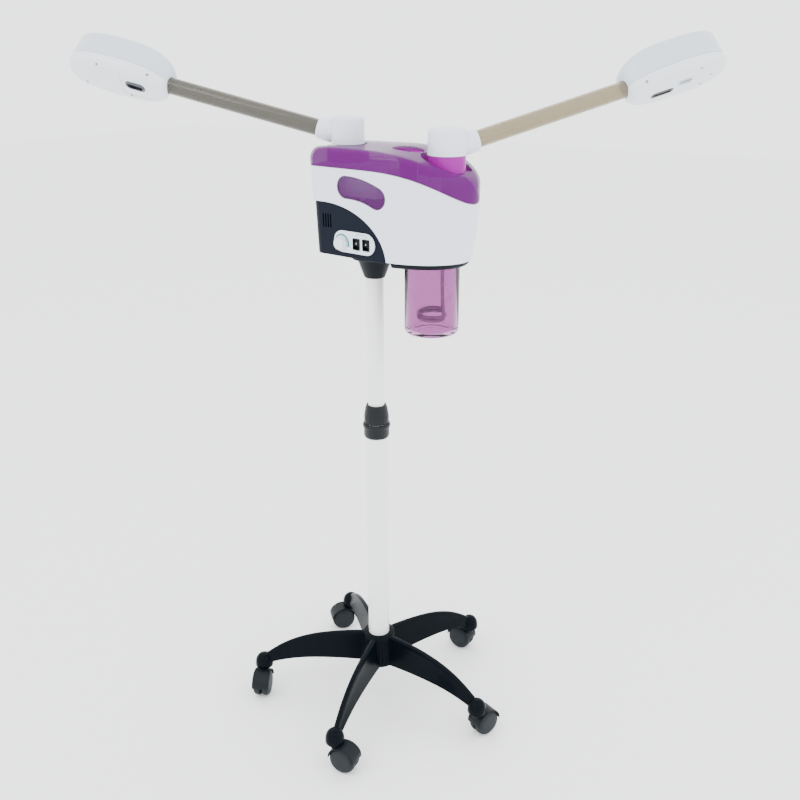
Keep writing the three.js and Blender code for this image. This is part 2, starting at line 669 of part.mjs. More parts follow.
// ---------------------------------------------------------------- arms
// Half of a head's outline in plan, from the blunt root at the tube to the wide far end.
function headHalf(inset) {
  const widestX = 90;
  const half = [];
  const length = HEAD_LENGTH - 2 * inset;
  const place = (x, w) => half.push([
    inset + (x * length) / HEAD_LENGTH, -(w * (HEAD_HALF_WIDTH - inset)) / HEAD_HALF_WIDTH,
  ]);
  for (const k of [0.5, 1.4, 2.5, 3.7, 4.9, 6]) {
    const u = Math.cos((Math.PI / 2) * (k / 6));
    place(widestX * (1 - u), HEAD_HALF_WIDTH * (1 - u ** 2.3) ** 0.36);
  }
  for (let k = 1; k <= 5; k += 1) {
    const u = Math.sin((Math.PI / 2) * (k / 5));
    const w = k === 5 ? 0 : HEAD_HALF_WIDTH * (1 - u ** 2.3) ** 0.42;
    place(widestX + (HEAD_LENGTH - widestX) * u, w);
  }
  return half;
}
const headRing = (z, inset) => mirroredRing(headHalf(inset), () => z);
// The head's back slopes down over its root, so a ring near it follows that slope.
const headBackAt = (x) => HEAD_TOP - 12 * Math.max(0, (60 - x) / 60) ** 2.2;
const headBackRing = (down, inset) => mirroredRing(headHalf(inset), (x) => headBackAt(x) - down);

const SPLIT = -4;                      // between a head's shell and its underside cover
const NOZZLES = {
  left: [{ x: 52, y: 2, length: 30, width: 13 }],
  right: [{ x: 58.5, y: 8, length: 34, width: 8 }, { x: 94.5, y: -5, length: 24, width: 12 }],
};

function buildHeadShell() {
  const outer = loft([
    headRing(SPLIT, 0), headBackRing(8, 0), headBackRing(2.6, 1.4), headBackRing(0, 6),
  ]);
  const inner = loft([headRing(SPLIT - 1, 2.6), headBackRing(9, 2.6), headBackRing(2.6, 7)]);
  const collar = turnedAlongX([[0, 6], [17, 6], [17, 20], [0, 20]], 20);
  const tubeHole = turnedAlongX([[0, -5], [TUBE_RADIUS + GAP, -5], [TUBE_RADIUS + GAP, 30], [0, 30]], 24);
  return cut(join(cut(outer, inner), collar), tubeHole);
}

function buildHeadCover(nozzles) {
  const low = HEAD_BOTTOM;
  const outer = loft([headRing(low, 7), headRing(low + 8, 0.8), headRing(SPLIT - GAP, 0)]);
  const inner = loft([headRing(low + 2.6, 9.5), headRing(low + 9.5, 4), headRing(SPLIT + 1, 3)]);
  const tubeRoom = turnedAlongX([
    [0, -5], [TUBE_RADIUS + GAP, -5], [TUBE_RADIUS + GAP, 5.5], [17.4, 5.5], [17.4, 30], [0, 30],
  ], 20);
  const mouths = nozzles.map(({ x, y, length, width }) =>
    extruded(stadium(length, width), low - 5, low + 20, 3).translate([x, y, 0]));
  return cut(outer, inner, tubeRoom, ...mouths);
}

// A nozzle: a stadium tube through the underside cover with a flange inside the head.
function buildNozzle({ x, y, length, width }) {
  const low = HEAD_BOTTOM;
  const sleeve = extruded(stadium(length - 2 * GAP, width - 2 * GAP), low - 0.8, low + 10, 3);
  const flange = extruded(stadium(length + 8, width + 8), low + 2.9, low + 5, 3);
  const passage = extruded(stadium(length - 3.4, width - 3.4), low - 5, low + 12, 3);
  return cut(join(sleeve, flange), passage).translate([x, y, 0]);
}

function buildElbow({ base, top, axis, radius, pitch: rise }) {
  const pitch = new THREE.Matrix4().makeRotationY(-radians(rise));
  const low = base - axis;
  const high = top - axis;
  const body = turned([
    [0, low - 18], [15, low - 18], [15, low], [radius, low], [radius, high - 6], [radius - 2, high - 2],
    [radius - 6, high], [0, high],
  ], 24);
  const spoutTurned = turnedAlongX([[0, 0], [16.6, 0], [17.2, 28], [16.4, SPOUT_END], [0, SPOUT_END]], 20, pitch);
  const spout = cut(spoutTurned, block(-60, 60, -40, 40, -60, low));
  const socket = turnedAlongX([
    [0, 2], [10, 2], [10, 24], [TUBE_RADIUS + GAP, 24], [TUBE_RADIUS + GAP, 60], [0, 60],
  ], 24, pitch);
  const riser = post(10, low - 25, 4, 16);
  return cut(join(body, spout), socket, riser);
}

for (const arm of ARMS) {
  const swing = new THREE.Group();
  swing.position.set(arm.x, 0, arm.axis);
  swing.rotation.z = radians(arm.azimuth);
  steamer.add(swing);
  const reach = new THREE.Group();
  reach.rotation.y = -radians(arm.pitch);
  swing.add(reach);
  const head = new THREE.Group();
  head.position.x = arm.reach;
  head.rotation.x = radians(arm.roll);
  reach.add(head);

  const tube = turnedAlongX([
    [11.2, TUBE_START], [TUBE_RADIUS, TUBE_START], [TUBE_RADIUS, arm.reach + 18],
    [11.2, arm.reach + 18], [11.2, TUBE_START],
  ], 24);
  addPart(swing, `${arm.side}_elbow`, buildElbow(arm), whitePlastic);
  addPart(reach, `${arm.side}_arm_tube`, tube, smokedTube);
  addPart(head, `${arm.side}_head_shell`, buildHeadShell(), whitePlastic);
  addPart(head, `${arm.side}_head_cover`, buildHeadCover(NOZZLES[arm.side]), whitePlastic);
  NOZZLES[arm.side].forEach((nozzle, k) => {
    addPart(head, `${arm.side}_nozzle_${k + 1}`, buildNozzle(nozzle), chrome);
  });
}

// ---------------------------------------------------------------- origin
// The whole object is moved so that its origin is the middle of its footprint, on the floor.
steamer.updateMatrixWorld(true);
const extent = new THREE.Box3().setFromObject(steamer, true);
const middle = extent.getCenter(new THREE.Vector3());
steamer.position.set(-middle.x, -middle.y, -extent.min.z);

export default steamer;
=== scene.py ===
# A salon steamer on a wheeled star stand. Sizes are in millimetres about the column's axis, with
# +X towards the casing's nose, -Y towards the control panel and +Z up, and each finished piece is
# put in metres in the frame's own axes.
import math
from math import cos, pi, radians, sin

import bmesh
import bpy
from mathutils import Matrix, Vector


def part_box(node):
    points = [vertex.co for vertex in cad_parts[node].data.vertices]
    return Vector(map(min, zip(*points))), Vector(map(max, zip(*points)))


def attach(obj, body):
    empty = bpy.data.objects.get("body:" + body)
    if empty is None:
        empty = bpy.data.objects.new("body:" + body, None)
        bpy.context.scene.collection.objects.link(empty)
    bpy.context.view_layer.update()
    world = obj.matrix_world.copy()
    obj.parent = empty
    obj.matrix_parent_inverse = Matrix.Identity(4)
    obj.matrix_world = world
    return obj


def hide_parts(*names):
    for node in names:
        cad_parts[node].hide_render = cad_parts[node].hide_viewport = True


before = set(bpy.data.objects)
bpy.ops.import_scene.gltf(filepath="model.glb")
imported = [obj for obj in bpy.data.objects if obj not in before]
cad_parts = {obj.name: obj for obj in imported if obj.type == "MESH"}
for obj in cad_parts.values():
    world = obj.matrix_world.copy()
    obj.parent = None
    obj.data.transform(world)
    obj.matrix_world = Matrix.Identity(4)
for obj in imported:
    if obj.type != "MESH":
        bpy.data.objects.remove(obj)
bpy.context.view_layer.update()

# --- camera, floor and light
# A pale floor that runs on into the backdrop, a broad soft light high on the control side, weaker
# ones from the nose side and from behind, and a pale sky.
column_low, column_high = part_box("lower_column_tube")
AXIS = Vector(((column_low[0] + column_high[0]) / 2, (column_low[1] + column_high[1]) / 2, 0))
TO_METRES = Matrix.Translation(AXIS) @ Matrix.Scale(0.001, 4)
scene = bpy.context.scene


def linked(name, data):
    """A new object in the scene that holds this data."""
    thing = bpy.data.objects.new(name, data)
    scene.collection.objects.link(thing)
    return thing


camera = linked("camera", bpy.data.cameras.new("camera"))
camera.data.sensor_width = 36
camera.data.lens = 42.44
camera.location = AXIS + Vector((0.8131, -1.2521, 1.168))
camera.rotation_euler = (radians(90 - 21.12), radians(0.12), radians(121.41 - 90))
scene.camera = camera


def soft_light(name, power, size, place, aim):
    """A square area light at a place, turned towards an aim."""
    data = bpy.data.lights.new(name, "AREA")
    data.energy, data.size = power, size
    lamp = linked(name, data)
    lamp.location = place
    lamp.rotation_euler = (Vector(aim) - Vector(place)).to_track_quat("-Z", "Y").to_euler()


soft_light("key_light", 22, 1.6, (-0.6, -2.1, 2.9), (0, 0, 0.8))
soft_light("nose_light", 12, 1.4, (2.4, 0.2, 1.9), (0.1, 0, 0.8))
soft_light("back_light", 6, 1.5, (-0.6, 1.6, 3.2), (0, 0, 0.9))

sky = bpy.data.worlds.new("pale_sky")
sky.use_nodes = True
sky_shader = sky.node_tree.nodes["Background"]
sky_shader.inputs["Color"].default_value = (0.97, 0.985, 1, 1)
sky_shader.inputs["Strength"].default_value = 2.8
scene.world = sky

FLOOR_REACH = 9
ground = bmesh.new()
bmesh.ops.create_grid(ground, x_segments=2, y_segments=2, size=FLOOR_REACH)
floor_mesh = bpy.data.meshes.new("floor")
ground.to_mesh(floor_mesh)
ground.free()
floor = linked("floor", floor_mesh)
floor_paint = bpy.data.materials.new("floor_paint")
floor_paint.use_nodes = True
floor_shader = floor_paint.node_tree.nodes["Principled BSDF"]
floor_shader.inputs["Base Color"].default_value = (0.96, 0.96, 0.965, 1)
floor_shader.inputs["Roughness"].default_value = 0.75
floor.data.materials.append(floor_paint)

# --- column tubes
# Two steel tubes, one sliding in the other, sprayed gloss white. The paint has a faint orange
# peel.

CLOUD_SCALE = 14
GLOSS_SPREAD = 0.12
RELIEF_DEPTH = 0.0004


def moulded_surface():
    """The uneven tone, gloss and fine relief that mouldings and paint share, as a node group."""
    group = bpy.data.node_groups.new("moulded_surface", "ShaderNodeTree")
    for name, kind in (("Tint", "Color"), ("Mottle", "Float"), ("Gloss", "Float"),
                       ("Grain", "Float"), ("Relief", "Float")):
        group.interface.new_socket(name, in_out="INPUT", socket_type=f"NodeSocket{kind}")
    for name, kind in (("Tint", "Color"), ("Roughness", "Float"), ("Normal", "Vector")):
        group.interface.new_socket(name, in_out="OUTPUT", socket_type=f"NodeSocket{kind}")
    nodes, link = group.nodes, group.links.new
    given, result = nodes.new("NodeGroupInput"), nodes.new("NodeGroupOutput")
    place = nodes.new("ShaderNodeTexCoord")
    cloud = nodes.new("ShaderNodeTexNoise")
    cloud.inputs["Scale"].default_value = CLOUD_SCALE
    cloud.inputs["Detail"].default_value = 3
    link(place.outputs["Object"], cloud.inputs["Vector"])

    def maths(operation, *terms):
        """The output of a maths node, each term a number or another node's output."""
        node = nodes.new("ShaderNodeMath")
        node.operation = operation
        for socket, term in zip(node.inputs, terms):
            if isinstance(term, (int, float)):
                socket.default_value = term
            else:
                link(term, socket)
        return node.outputs[0]

    centred = maths("SUBTRACT", cloud.outputs["Fac"], 0.5)
    tone = maths("MULTIPLY", centred, given.outputs["Mottle"])
    shade = nodes.new("ShaderNodeVectorMath")
    shade.operation = "SCALE"
    link(given.outputs["Tint"], shade.inputs[0])
    link(maths("ADD", tone, 1), shade.inputs["Scale"])
    link(shade.outputs["Vector"], result.inputs["Tint"])
    rough = maths("MULTIPLY_ADD", centred, GLOSS_SPREAD, given.outputs["Gloss"])
    link(rough, result.inputs["Roughness"])
    grain = nodes.new("ShaderNodeTexNoise")
    grain.inputs["Detail"].default_value = 2
    link(place.outputs["Object"], grain.inputs["Vector"])
    link(given.outputs["Grain"], grain.inputs["Scale"])
    bump = nodes.new("ShaderNodeBump")
    bump.inputs["Distance"].default_value = RELIEF_DEPTH
    link(grain.outputs["Fac"], bump.inputs["Height"])
    link(given.outputs["Relief"], bump.inputs["Strength"])
    link(bump.outputs["Normal"], result.inputs["Normal"])
    return group


MOULDED = moulded_surface()


def surface(name, tint, gloss, mottle=0.05, grain=260, relief=0.08, **sockets):
    """A material with the shared moulded surface, and the rest set on the shader's sockets."""
    material = bpy.data.materials.new(name)
    material.use_nodes = True
    nodes, link = material.node_tree.nodes, material.node_tree.links.new
    shader = nodes["Principled BSDF"]
    group = nodes.new("ShaderNodeGroup")
    group.node_tree = MOULDED
    for socket, value in (("Tint", (*tint, 1)), ("Gloss", gloss), ("Mottle", mottle),
                          ("Grain", grain), ("Relief", relief)):
        group.inputs[socket].default_value = value
    for given, wanted in (("Tint", "Base Color"), ("Roughness", "Roughness"), ("Normal", "Normal")):
        link(group.outputs[given], shader.inputs[wanted])
    for socket, value in sockets.items():
        shader.inputs[socket.replace("_", " ")].default_value = value
    material.diffuse_color = (*tint, 1)
    return material


def spun(bm, profile, steps=64, centre=(0, 0)):
    """Turns a profile of (radius, height) corners about the vertical through the centre."""
    corners = [bm.verts.new((centre[0] + r, centre[1], z)) for r, z in profile]
    edges = [bm.edges.new(pair) for pair, (one, two) in zip(zip(corners, corners[1:]),
                                                            zip(profile, profile[1:]))
             if one[0] or two[0]]
    bmesh.ops.spin(bm, geom=corners + edges, cent=(*centre, 0), axis=(0, 0, 1), angle=2 * pi,
                   steps=steps, use_merge=True, use_duplicate=False)
    bmesh.ops.remove_doubles(bm, verts=bm.verts, dist=0.001)
    bmesh.ops.recalc_face_normals(bm, faces=bm.faces)


def eased(bm, width, segments=2, angle=30):
    """Rounds every edge that is sharper than an angle."""
    sharp = [e for e in bm.edges
             if len(e.link_faces) == 2 and e.calc_face_angle(0) > radians(angle)]
    bmesh.ops.bevel(bm, geom=sharp, offset=width, offset_type="OFFSET", segments=segments,
                    profile=0.5, affect="EDGES", clamp_overlap=True, material=-1)


def block(bm, place, size):
    """Adds a plain block of this size at a place."""
    bmesh.ops.create_cube(bm, size=1, matrix=place @ Matrix.Diagonal((*size, 1)))


def finished(bm, name, body, material, slot, *nodes, place=None, crisp=32):
    """The mesh as an object in metres that rides on a body and stands for its CAD nodes."""
    if place:
        bm.transform(place)
    bm.transform(TO_METRES)
    mesh = bpy.data.meshes.new(name)
    bm.to_mesh(mesh)
    bm.free()
    mesh.materials.append(material)
    mesh.polygons.foreach_set("use_smooth", [True] * len(mesh.polygons))
    mesh.set_sharp_from_angle(angle=radians(crisp))
    thing = linked(name, mesh)
    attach(thing, body)
    if nodes:
        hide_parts(*nodes)
    return thing


white_paint = surface("white_paint", (0.87, 0.88, 0.87), 0.24, 0.03, 420, 0.1, Coat_Weight=0.4)

TUBE_SEAT = 84.3
LOWER_TUBE_TOP = 555
lower_tube = bmesh.new()
spun(lower_tube, [(5.4, TUBE_SEAT), (19, TUBE_SEAT), (19, LOWER_TUBE_TOP), (17.5, LOWER_TUBE_TOP),
                  (17.5, 90), (5.4, 90), (5.4, TUBE_SEAT)])
eased(lower_tube, 0.5)
finished(lower_tube, "lower_tube", "base", white_paint, "column_white", "lower_column_tube")

upper_tube = bmesh.new()
spun(upper_tube, [(12.6, 323), (14, 323), (14, 841), (12.6, 841), (12.6, 323)])
eased(upper_tube, 0.4)
finished(upper_tube, "upper_tube", "mast", white_paint, "column_white", "upper_column_tube")

# --- clamping collar
# Two black mouldings: a sleeve fixed on the lower tube, and a ribbed taper that screws down on
# it and grips the upper tube.
collar_black = surface("collar_black", (0.0022, 0.0035, 0.005), 0.42, 0.25, 700, 0.15,
                       Specular_IOR_Level=0.22)

sleeve = bmesh.new()
spun(sleeve, [(19.2, 526), (20.3, 526), (21.8, 529.5), (21.8, 543.5), (23.5, 545.5),
              (23.5, 549.5), (22, 551.4), (19.2, 551.4), (19.2, 526)])
eased(sleeve, 0.5)
finished(sleeve, "collar_sleeve_moulding", "base", collar_black, "collar_black", "collar_sleeve")

ring = bmesh.new()
spun(ring, [(19.4, 552.2), (21, 552.2), (21, 566), (18.8, 579), (16.6, 585), (15, 585),
            (14.6, 581), (14.6, 556), (19.4, 556), (19.4, 552.2)])
eased(ring, 0.5)
GRIP_RIBS = 16
for rib in range(GRIP_RIBS):
    turn = Matrix.Rotation(2 * pi * rib / GRIP_RIBS, 4, "Z")
    block(ring, turn @ Matrix.Translation((20.6, 0, 560)), (1.4, 1.6, 13))
finished(ring, "collar_ring_moulding", "collar", collar_black, "collar_black", "collar_ring")

# --- star base
# One glossy black moulding: five arched blades with a narrow ridge run from a ribbed hub out to
# the domed sockets that hold the casters' stems.
base_black = surface("base_black", (0.0018, 0.0034, 0.0052), 0.26, 0.3, 60, 0.12,
                     Specular_IOR_Level=0.04)


def skin(bm, columns, rows, at):
    """A grid laid over a surface: at(u, v) gives the point for u along it and v across it."""
    grid = bmesh.ops.create_grid(bm, x_segments=columns, y_segments=rows, size=1)
    for vert in grid["verts"]:
        vert.co = at((vert.co.x + 1) / 2, (vert.co.y + 1) / 2)
    bmesh.ops.remove_doubles(bm, verts=bm.verts, dist=0.002)


def between(stations, x):
    """Values at x on smooth curves through the stations, each (x, value, value, ...)."""
    k = max(1, min(len(stations) - 3, sum(s[0] <= x for s in stations) - 1))
    near = stations[k - 1:k + 3]
    weights = [math.prod((x - q[0]) / (p[0] - q[0]) for q in near if q is not p) for p in near]
    return [sum(p[i] * w for p, w in zip(near, weights)) for i in range(1, len(near[0]))]


STAR_RADIUS = 219
LEG_AZIMUTHS = [66.4 + 72 * k for k in range(5)]
STEMS = [(STAR_RADIUS * cos(radians(a)), STAR_RADIUS * sin(radians(a))) for a in LEG_AZIMUTHS]
# distance from the axis, underside, ridge, half width below, half width of the ridge
LEG = [(12, 74, 129, 17, 5.5), (45, 75, 128.8, 14, 5), (80, 76, 127, 12.5, 4.5),
       (115, 76, 122.5, 11.5, 4.3), (148, 74, 114, 10.5, 4.2), (178, 69, 101, 9.5, 4.1),
       (203, 62, 85, 8.5, 4), (216, 57, 75, 7.5, 4)]


def leg_point(u, v):
    """A point of a blade, u along it and v round its section from the middle of the underside."""
    x = LEG[0][0] + u * (LEG[-1][0] - LEG[0][0])
    low, high, wide, narrow = between(LEG, x)
    side = -1 if v < 0.5 else 1
    s = 1 - abs(2 * v - 1)
    if s < 0.2:
        y, z = s / 0.2 * (wide - 1.2), low
    elif s < 0.3:
        turn = (s - 0.2) / 0.1 * pi / 2
        y, z = wide - 1.2 + 1.2 * sin(turn), low + 1.2 * (1 - cos(turn))
    elif s < 0.7:
        t = (s - 0.3) / 0.4
        y = narrow + 0.9 + (wide - narrow - 0.9) * (1 - t) ** 1.5
        z = low + 1.2 + t * (high - low - 7.2)
    elif s < 0.76:
        y, z = narrow + 0.9 - (s - 0.7) / 0.06 * 0.9, high - 6 + (s - 0.7) / 0.06 * 3.4
    else:
        turn = (s - 0.76) / 0.24 * pi / 2
        y, z = narrow * cos(turn), high - 2.6 + 2.6 * sin(turn)
    return Vector((x, side * y, z))


star = bmesh.new()
blade = bmesh.new()
skin(blade, 40, 100, leg_point)
bmesh.ops.holes_fill(blade, edges=[e for e in blade.edges if e.is_boundary])
blade_mesh = bpy.data.meshes.new("blade")
blade.to_mesh(blade_mesh)
blade.free()
for azimuth in LEG_AZIMUTHS:
    turn = Matrix.Rotation(radians(azimuth), 4, "Z")
    before = set(star.verts)
    star.from_mesh(blade_mesh)
    bmesh.ops.transform(star, matrix=turn, verts=[v for v in star.verts if v not in before])
bpy.data.meshes.remove(blade_mesh)
DOME_RADIUS, DOME_BASE, DOME_RISE = 16.4, 57, 19.3
dome = [(0, 67), (4.8, 67), (4.8, 50.5), (15, 50.5), (16.1, 51.2), (16.5, 52.6)]
dome += [(DOME_RADIUS * cos(radians(a)) ** 0.8, DOME_BASE + DOME_RISE * sin(radians(a)))
         for a in range(0, 90, 9)]
dome.append((0, DOME_BASE + DOME_RISE))
for stem in STEMS:
    spun(star, dome, 40, stem)
spun(star, [(0, 79), (13, 79), (13, 71.4), (13.4, 71), (34, 71), (35.5, 75), (34, 100), (30.5, 126),
            (28.6, 129.6), (26, 131), (19.6, 131), (19.4, 128), (19.4, 84), (0, 84)], 60)
HUB_RIBS = (-24, -14.5, -5, 5, 14.5, 24)
for azimuth in LEG_AZIMUTHS:
    for offset in HUB_RIBS:
        turn = Matrix.Rotation(radians(azimuth + 36 + offset), 4, "Z")
        bmesh.ops.create_cone(star, cap_ends=True, segments=10, radius1=1.7, radius2=0.9, depth=50,
                              matrix=turn @ Matrix.Translation((33.6, 0, 99.5))
                              @ Matrix.Rotation(radians(-5.2), 4, "Y"))
bmesh.ops.recalc_face_normals(star, faces=star.faces)
finished(star, "star_moulding", "base", base_black, "base_black", "star_base")

# --- casters
# Twin-wheel casters: a grey-black hood in one with its web, boss and stem, and a wheel each side
# whose outer face is one closed disc with a shallow ring in it.
hood_black = surface("hood_black", (0.0035, 0.006, 0.008), 0.5, 0.3, 500, 0.2,
                     Specular_IOR_Level=0.14)
tread_grey = surface("tread_grey", (0.0075, 0.0115, 0.014), 0.52, 0.35, 380, 0.3,
                     Specular_IOR_Level=0.18)

TRAIL = 18
WHEEL_RADIUS = 23.5
HOOD_INSIDE = 24.3
WEB_RADIUS, WEB_SHRINK = 24.2, 0.42
HEADINGS = [175.2, 227.3, 294.9, 5.3, 69.5]
AXLE = Matrix.Translation((TRAIL, 0, WHEEL_RADIUS)) @ Matrix.Rotation(pi / 2, 4, "X")


def hood():
    """The curved band over both wheels, the web between them, the boss and the stem."""
    bm = bmesh.new()
    band = [(HOOD_INSIDE, -14.6), (25.4, -15.4), (26.2, -14.2), (26.2, 14.2), (25.4, 15.4),
            (HOOD_INSIDE, 14.6)]
    start = radians(4)
    corners = [bm.verts.new((TRAIL + r * cos(start), y, WHEEL_RADIUS + r * sin(start)))
               for r, y in band]
    face = bm.faces.new(corners)
    bmesh.ops.spin(bm, geom=[face], cent=(TRAIL, 0, WHEEL_RADIUS), axis=(0, -1, 0),
                   angle=radians(172), steps=48, use_duplicate=False)
    for vert in bm.verts:
        out = Vector((vert.co.x - TRAIL, vert.co.z - WHEEL_RADIUS))
        share = min(1, max(0, out.y - 1.5) / 9)
        thickness = (out.length - HOOD_INSIDE) * (0.15 + 0.85 * share)
        out = out.normalized() * (HOOD_INSIDE + thickness)
        vert.co.x, vert.co.z = TRAIL + out.x, WHEEL_RADIUS + out.y
    bmesh.ops.create_cone(bm, cap_ends=True, segments=48, radius1=WEB_RADIUS, radius2=WEB_RADIUS,
                          depth=4, matrix=AXLE)
    for vert in bm.verts:
        if vert.co.z < WHEEL_RADIUS and abs(vert.co.y) < 3:
            vert.co.x = TRAIL + (vert.co.x - TRAIL) * WEB_SHRINK
            vert.co.z = WHEEL_RADIUS + (vert.co.z - WHEEL_RADIUS) * WEB_SHRINK
    spun(bm, [(0, 40), (7.6, 40), (7.6, 48), (6.6, 49), (4.5, 49), (4.5, 65.4), (3.9, 66),
              (0, 66)], 32)
    return bm


def wheel(side):
    """One wheel: a slightly crowned tread, a rounded shoulder and a dished outer disc."""
    half = [(0, 11.8), (3.7, 11.8), (3.7, 2.5), (22.2, 2.5), (23, 3), (23.4, 4.2), (23.5, 6.6),
            (23.3, 9), (22.7, 11.2), (21.6, 13), (20, 14.2), (19.2, 14.4), (18.7, 14.1),
            (18.2, 14.5), (14, 15), (8, 15.2), (0, 15.3)]
    disc = bmesh.new()
    spun(disc, half, 56)
    disc.transform(AXLE @ Matrix.Scale(-side, 4, (0, 0, 1)))
    bmesh.ops.recalc_face_normals(disc, faces=disc.faces)
    return disc


for number, (stem, heading) in enumerate(zip(STEMS, HEADINGS), 1):
    place = Matrix.Translation((*stem, 0)) @ Matrix.Rotation(radians(heading), 4, "Z")
    finished(hood(), f"hood_{number}", f"caster_{number}", hood_black, "caster_black",
             f"caster_hood_{number}", place=place)
    for letter, side in (("a", 1), ("b", -1)):
        finished(wheel(side), f"wheel_{number}{letter}", f"wheel_{number}{letter}", tread_grey,
                 "wheel_grey", f"caster_wheel_{number}{letter}", place=place)

# --- casing outline
# In plan the casing has a flat rear end with round corners, sides that open towards the nose and
# an elliptical nose. Its walls lean outwards a little towards the top.
NOSE_CENTRE = 68
FLARE = 0.11
CASING_FOOT, LEAN_HEIGHT, SIDE_LEAN = 841, 140, 3


def plan(u, z, inset):
    """The casing's outline at a height, u once round it from the middle of the rear end."""
    lean = (z - CASING_FOOT) / LEAN_HEIGHT
    nose = 98 + 13.5 * (1 - (1 - min(lean, 1)) ** 3) - inset
    wide = 70.5 + SIDE_LEAN * lean - inset
    rear = -81.5 - 5 * lean + inset
    blend_x = NOSE_CENTRE - 14.8
    blend_angle = math.asin((blend_x - NOSE_CENTRE) / nose)
    corner = max(20 - inset, 4)

    def side_at(x):
        return wide * cos(blend_angle) - FLARE * (blend_x - x)

    s = 1 - abs(2 * u - 1)
    if s <= 0.1:
        x, y = rear, s / 0.1 * (side_at(rear + corner) - corner)
    elif s <= 0.22:
        turn = pi / 2 * (1 - (s - 0.1) / 0.12)
        x = rear + corner * (1 - sin(turn))
        y = side_at(rear + corner) - corner * (1 - cos(turn))
    elif s <= 0.5:
        x = rear + corner + (s - 0.22) / 0.28 * (blend_x - rear - corner)
        y = side_at(x)
    else:
        turn = blend_angle + (pi / 2 - blend_angle) * (s - 0.5) / 0.5
        x, y = NOSE_CENTRE + nose * sin(turn), wide * cos(turn)
    return x, (-y if u < 0.5 else y)


def seam_at(x):
    """Height of the joint between the white shell and the clear cover."""
    return 982.5 - 39 * max(0, (x - 20) / 150) ** 2.8


def top_at(x):
    """Height of the cover's top, level over the rear and rolling down at the nose and rear edge."""
    roll = 24 - math.sqrt(max(0, 24 ** 2 - (x + 62) ** 2)) if x < -62 else 0
    return 1011.5 - 36 * max(0, (x - 20) / 150) ** 2.3 - roll


def wall_ring(rows, height):
    """A closed solid's skin: rows of (height share or depth, inset) closed across at both ends."""
    def at(u, v):
        k = min(round(v * (len(rows) + 1)), len(rows) + 1)
        share, inset = rows[min(max(k - 1, 0), len(rows) - 1)]
        z = height(u, share, inset)
        x, y = plan(u, z, inset)
        return Vector((x, 0 if k in (0, len(rows) + 1) else y, z))
    return at


COLUMNS = 200


def casing_solid(rows, height):
    """A closed solid in the casing's outline, from rows of (share, inset)."""
    bm = bmesh.new()
    skin(bm, COLUMNS, len(rows) + 1, wall_ring(rows, height))
    bmesh.ops.dissolve_degenerate(bm, edges=bm.edges, dist=0.001)
    bmesh.ops.recalc_face_normals(bm, faces=bm.faces)
    return bm


def carved(bm, tool, operation):
    """One solid cut by, joined to or kept inside another, both used up."""
    pair = []
    for part in (bm, tool):
        mesh = bpy.data.meshes.new("part")
        part.to_mesh(mesh)
        part.free()
        pair.append(linked("part", mesh))
    modifier = pair[0].modifiers.new("cut", "BOOLEAN")
    modifier.operation, modifier.solver, modifier.object = operation, "MANIFOLD", pair[1]
    result = bmesh.new()
    result.from_mesh(pair[0].evaluated_get(bpy.context.evaluated_depsgraph_get()).to_mesh())
    for thing in pair:
        mesh = thing.data
        bpy.data.objects.remove(thing)
        bpy.data.meshes.remove(mesh)
    return result


def cut(bm, *tools):
    """One solid less each of the others in turn."""
    for tool in tools:
        bm = carved(bm, tool, "DIFFERENCE")
    return bm


def level_rows(low, high, inset, count=2):
    """Rows at even heights with one inset."""
    return [(low + (high - low) * k / (count - 1), inset) for k in range(count)]


def plain_height(u, share, inset):
    """A row's own height, the same all round."""
    return share


def prism(points, low, high, place=Matrix.Identity(4)):
    """A flat outline pushed up from one height to another, then placed."""
    bm = bmesh.new()
    face = bm.faces.new([bm.verts.new((x, y, low)) for x, y in points])
    top = bmesh.ops.extrude_face_region(bm, geom=[face])["geom"]
    bmesh.ops.translate(bm, vec=(0, 0, high - low),
                        verts=[g for g in top if isinstance(g, bmesh.types.BMVert)])
    bm.transform(place)
    bmesh.ops.recalc_face_normals(bm, faces=bm.faces)
    return bm


ACROSS = Matrix.Rotation(pi / 2, 4, "X")      # an outline in X and Z, its thickness along -Y
ENDWAYS = Matrix(((0, 0, 1), (1, 0, 0), (0, 1, 0))).to_4x4()     # in Y and Z, thickness along X


def drum(radius, low, high, centre=(0, 0), steps=64):
    """A plain upright cylinder, for cutting with."""
    bm = bmesh.new()
    spun(bm, [(0, low), (radius, low), (radius, high), (0, high)], steps, centre)
    return bm


# --- casing tray
# The black floor of the casing, with the cone socket that sits on the column, a flange round it
# and the round mouth that the jar hangs in.
tray_black = surface("tray_black", (0.002, 0.004, 0.0065), 0.5, 0.25, 500, 0.2,
                     Specular_IOR_Level=0.12)
JAR = (106, 0)

tray_plate = casing_solid([(845.2, 9.5), (845.8, 8.7), (848.4, 8.5)], plain_height)
nose_lip = casing_solid([(841, 6.2), (841.6, 5), (843.6, 3), (845, 2.5), (848.6, 2.5)],
                        plain_height)
nose_box = prism([(73, -90), (200, -90), (200, 90), (73, 90)], 800, 900)
tray = carved(tray_plate, carved(nose_lip, nose_box, "INTERSECT"), "UNION")
socket = bmesh.new()
spun(socket, [(0, 806), (14.6, 806), (14.6, 805.4), (16.3, 805.2), (17.5, 807), (27.5, 835),
              (28.4, 836), (36, 836.5), (38, 838.5), (38, 846), (24, 846), (24, 857), (0, 857)], 64)
tray = carved(tray, socket, "UNION")
tray = cut(tray, drum(14.3, 780, 841.3), drum(44.5, 830, 853, JAR))
finished(tray, "casing_tray_moulding", "casing", tray_black, "collar_black", "casing_tray")

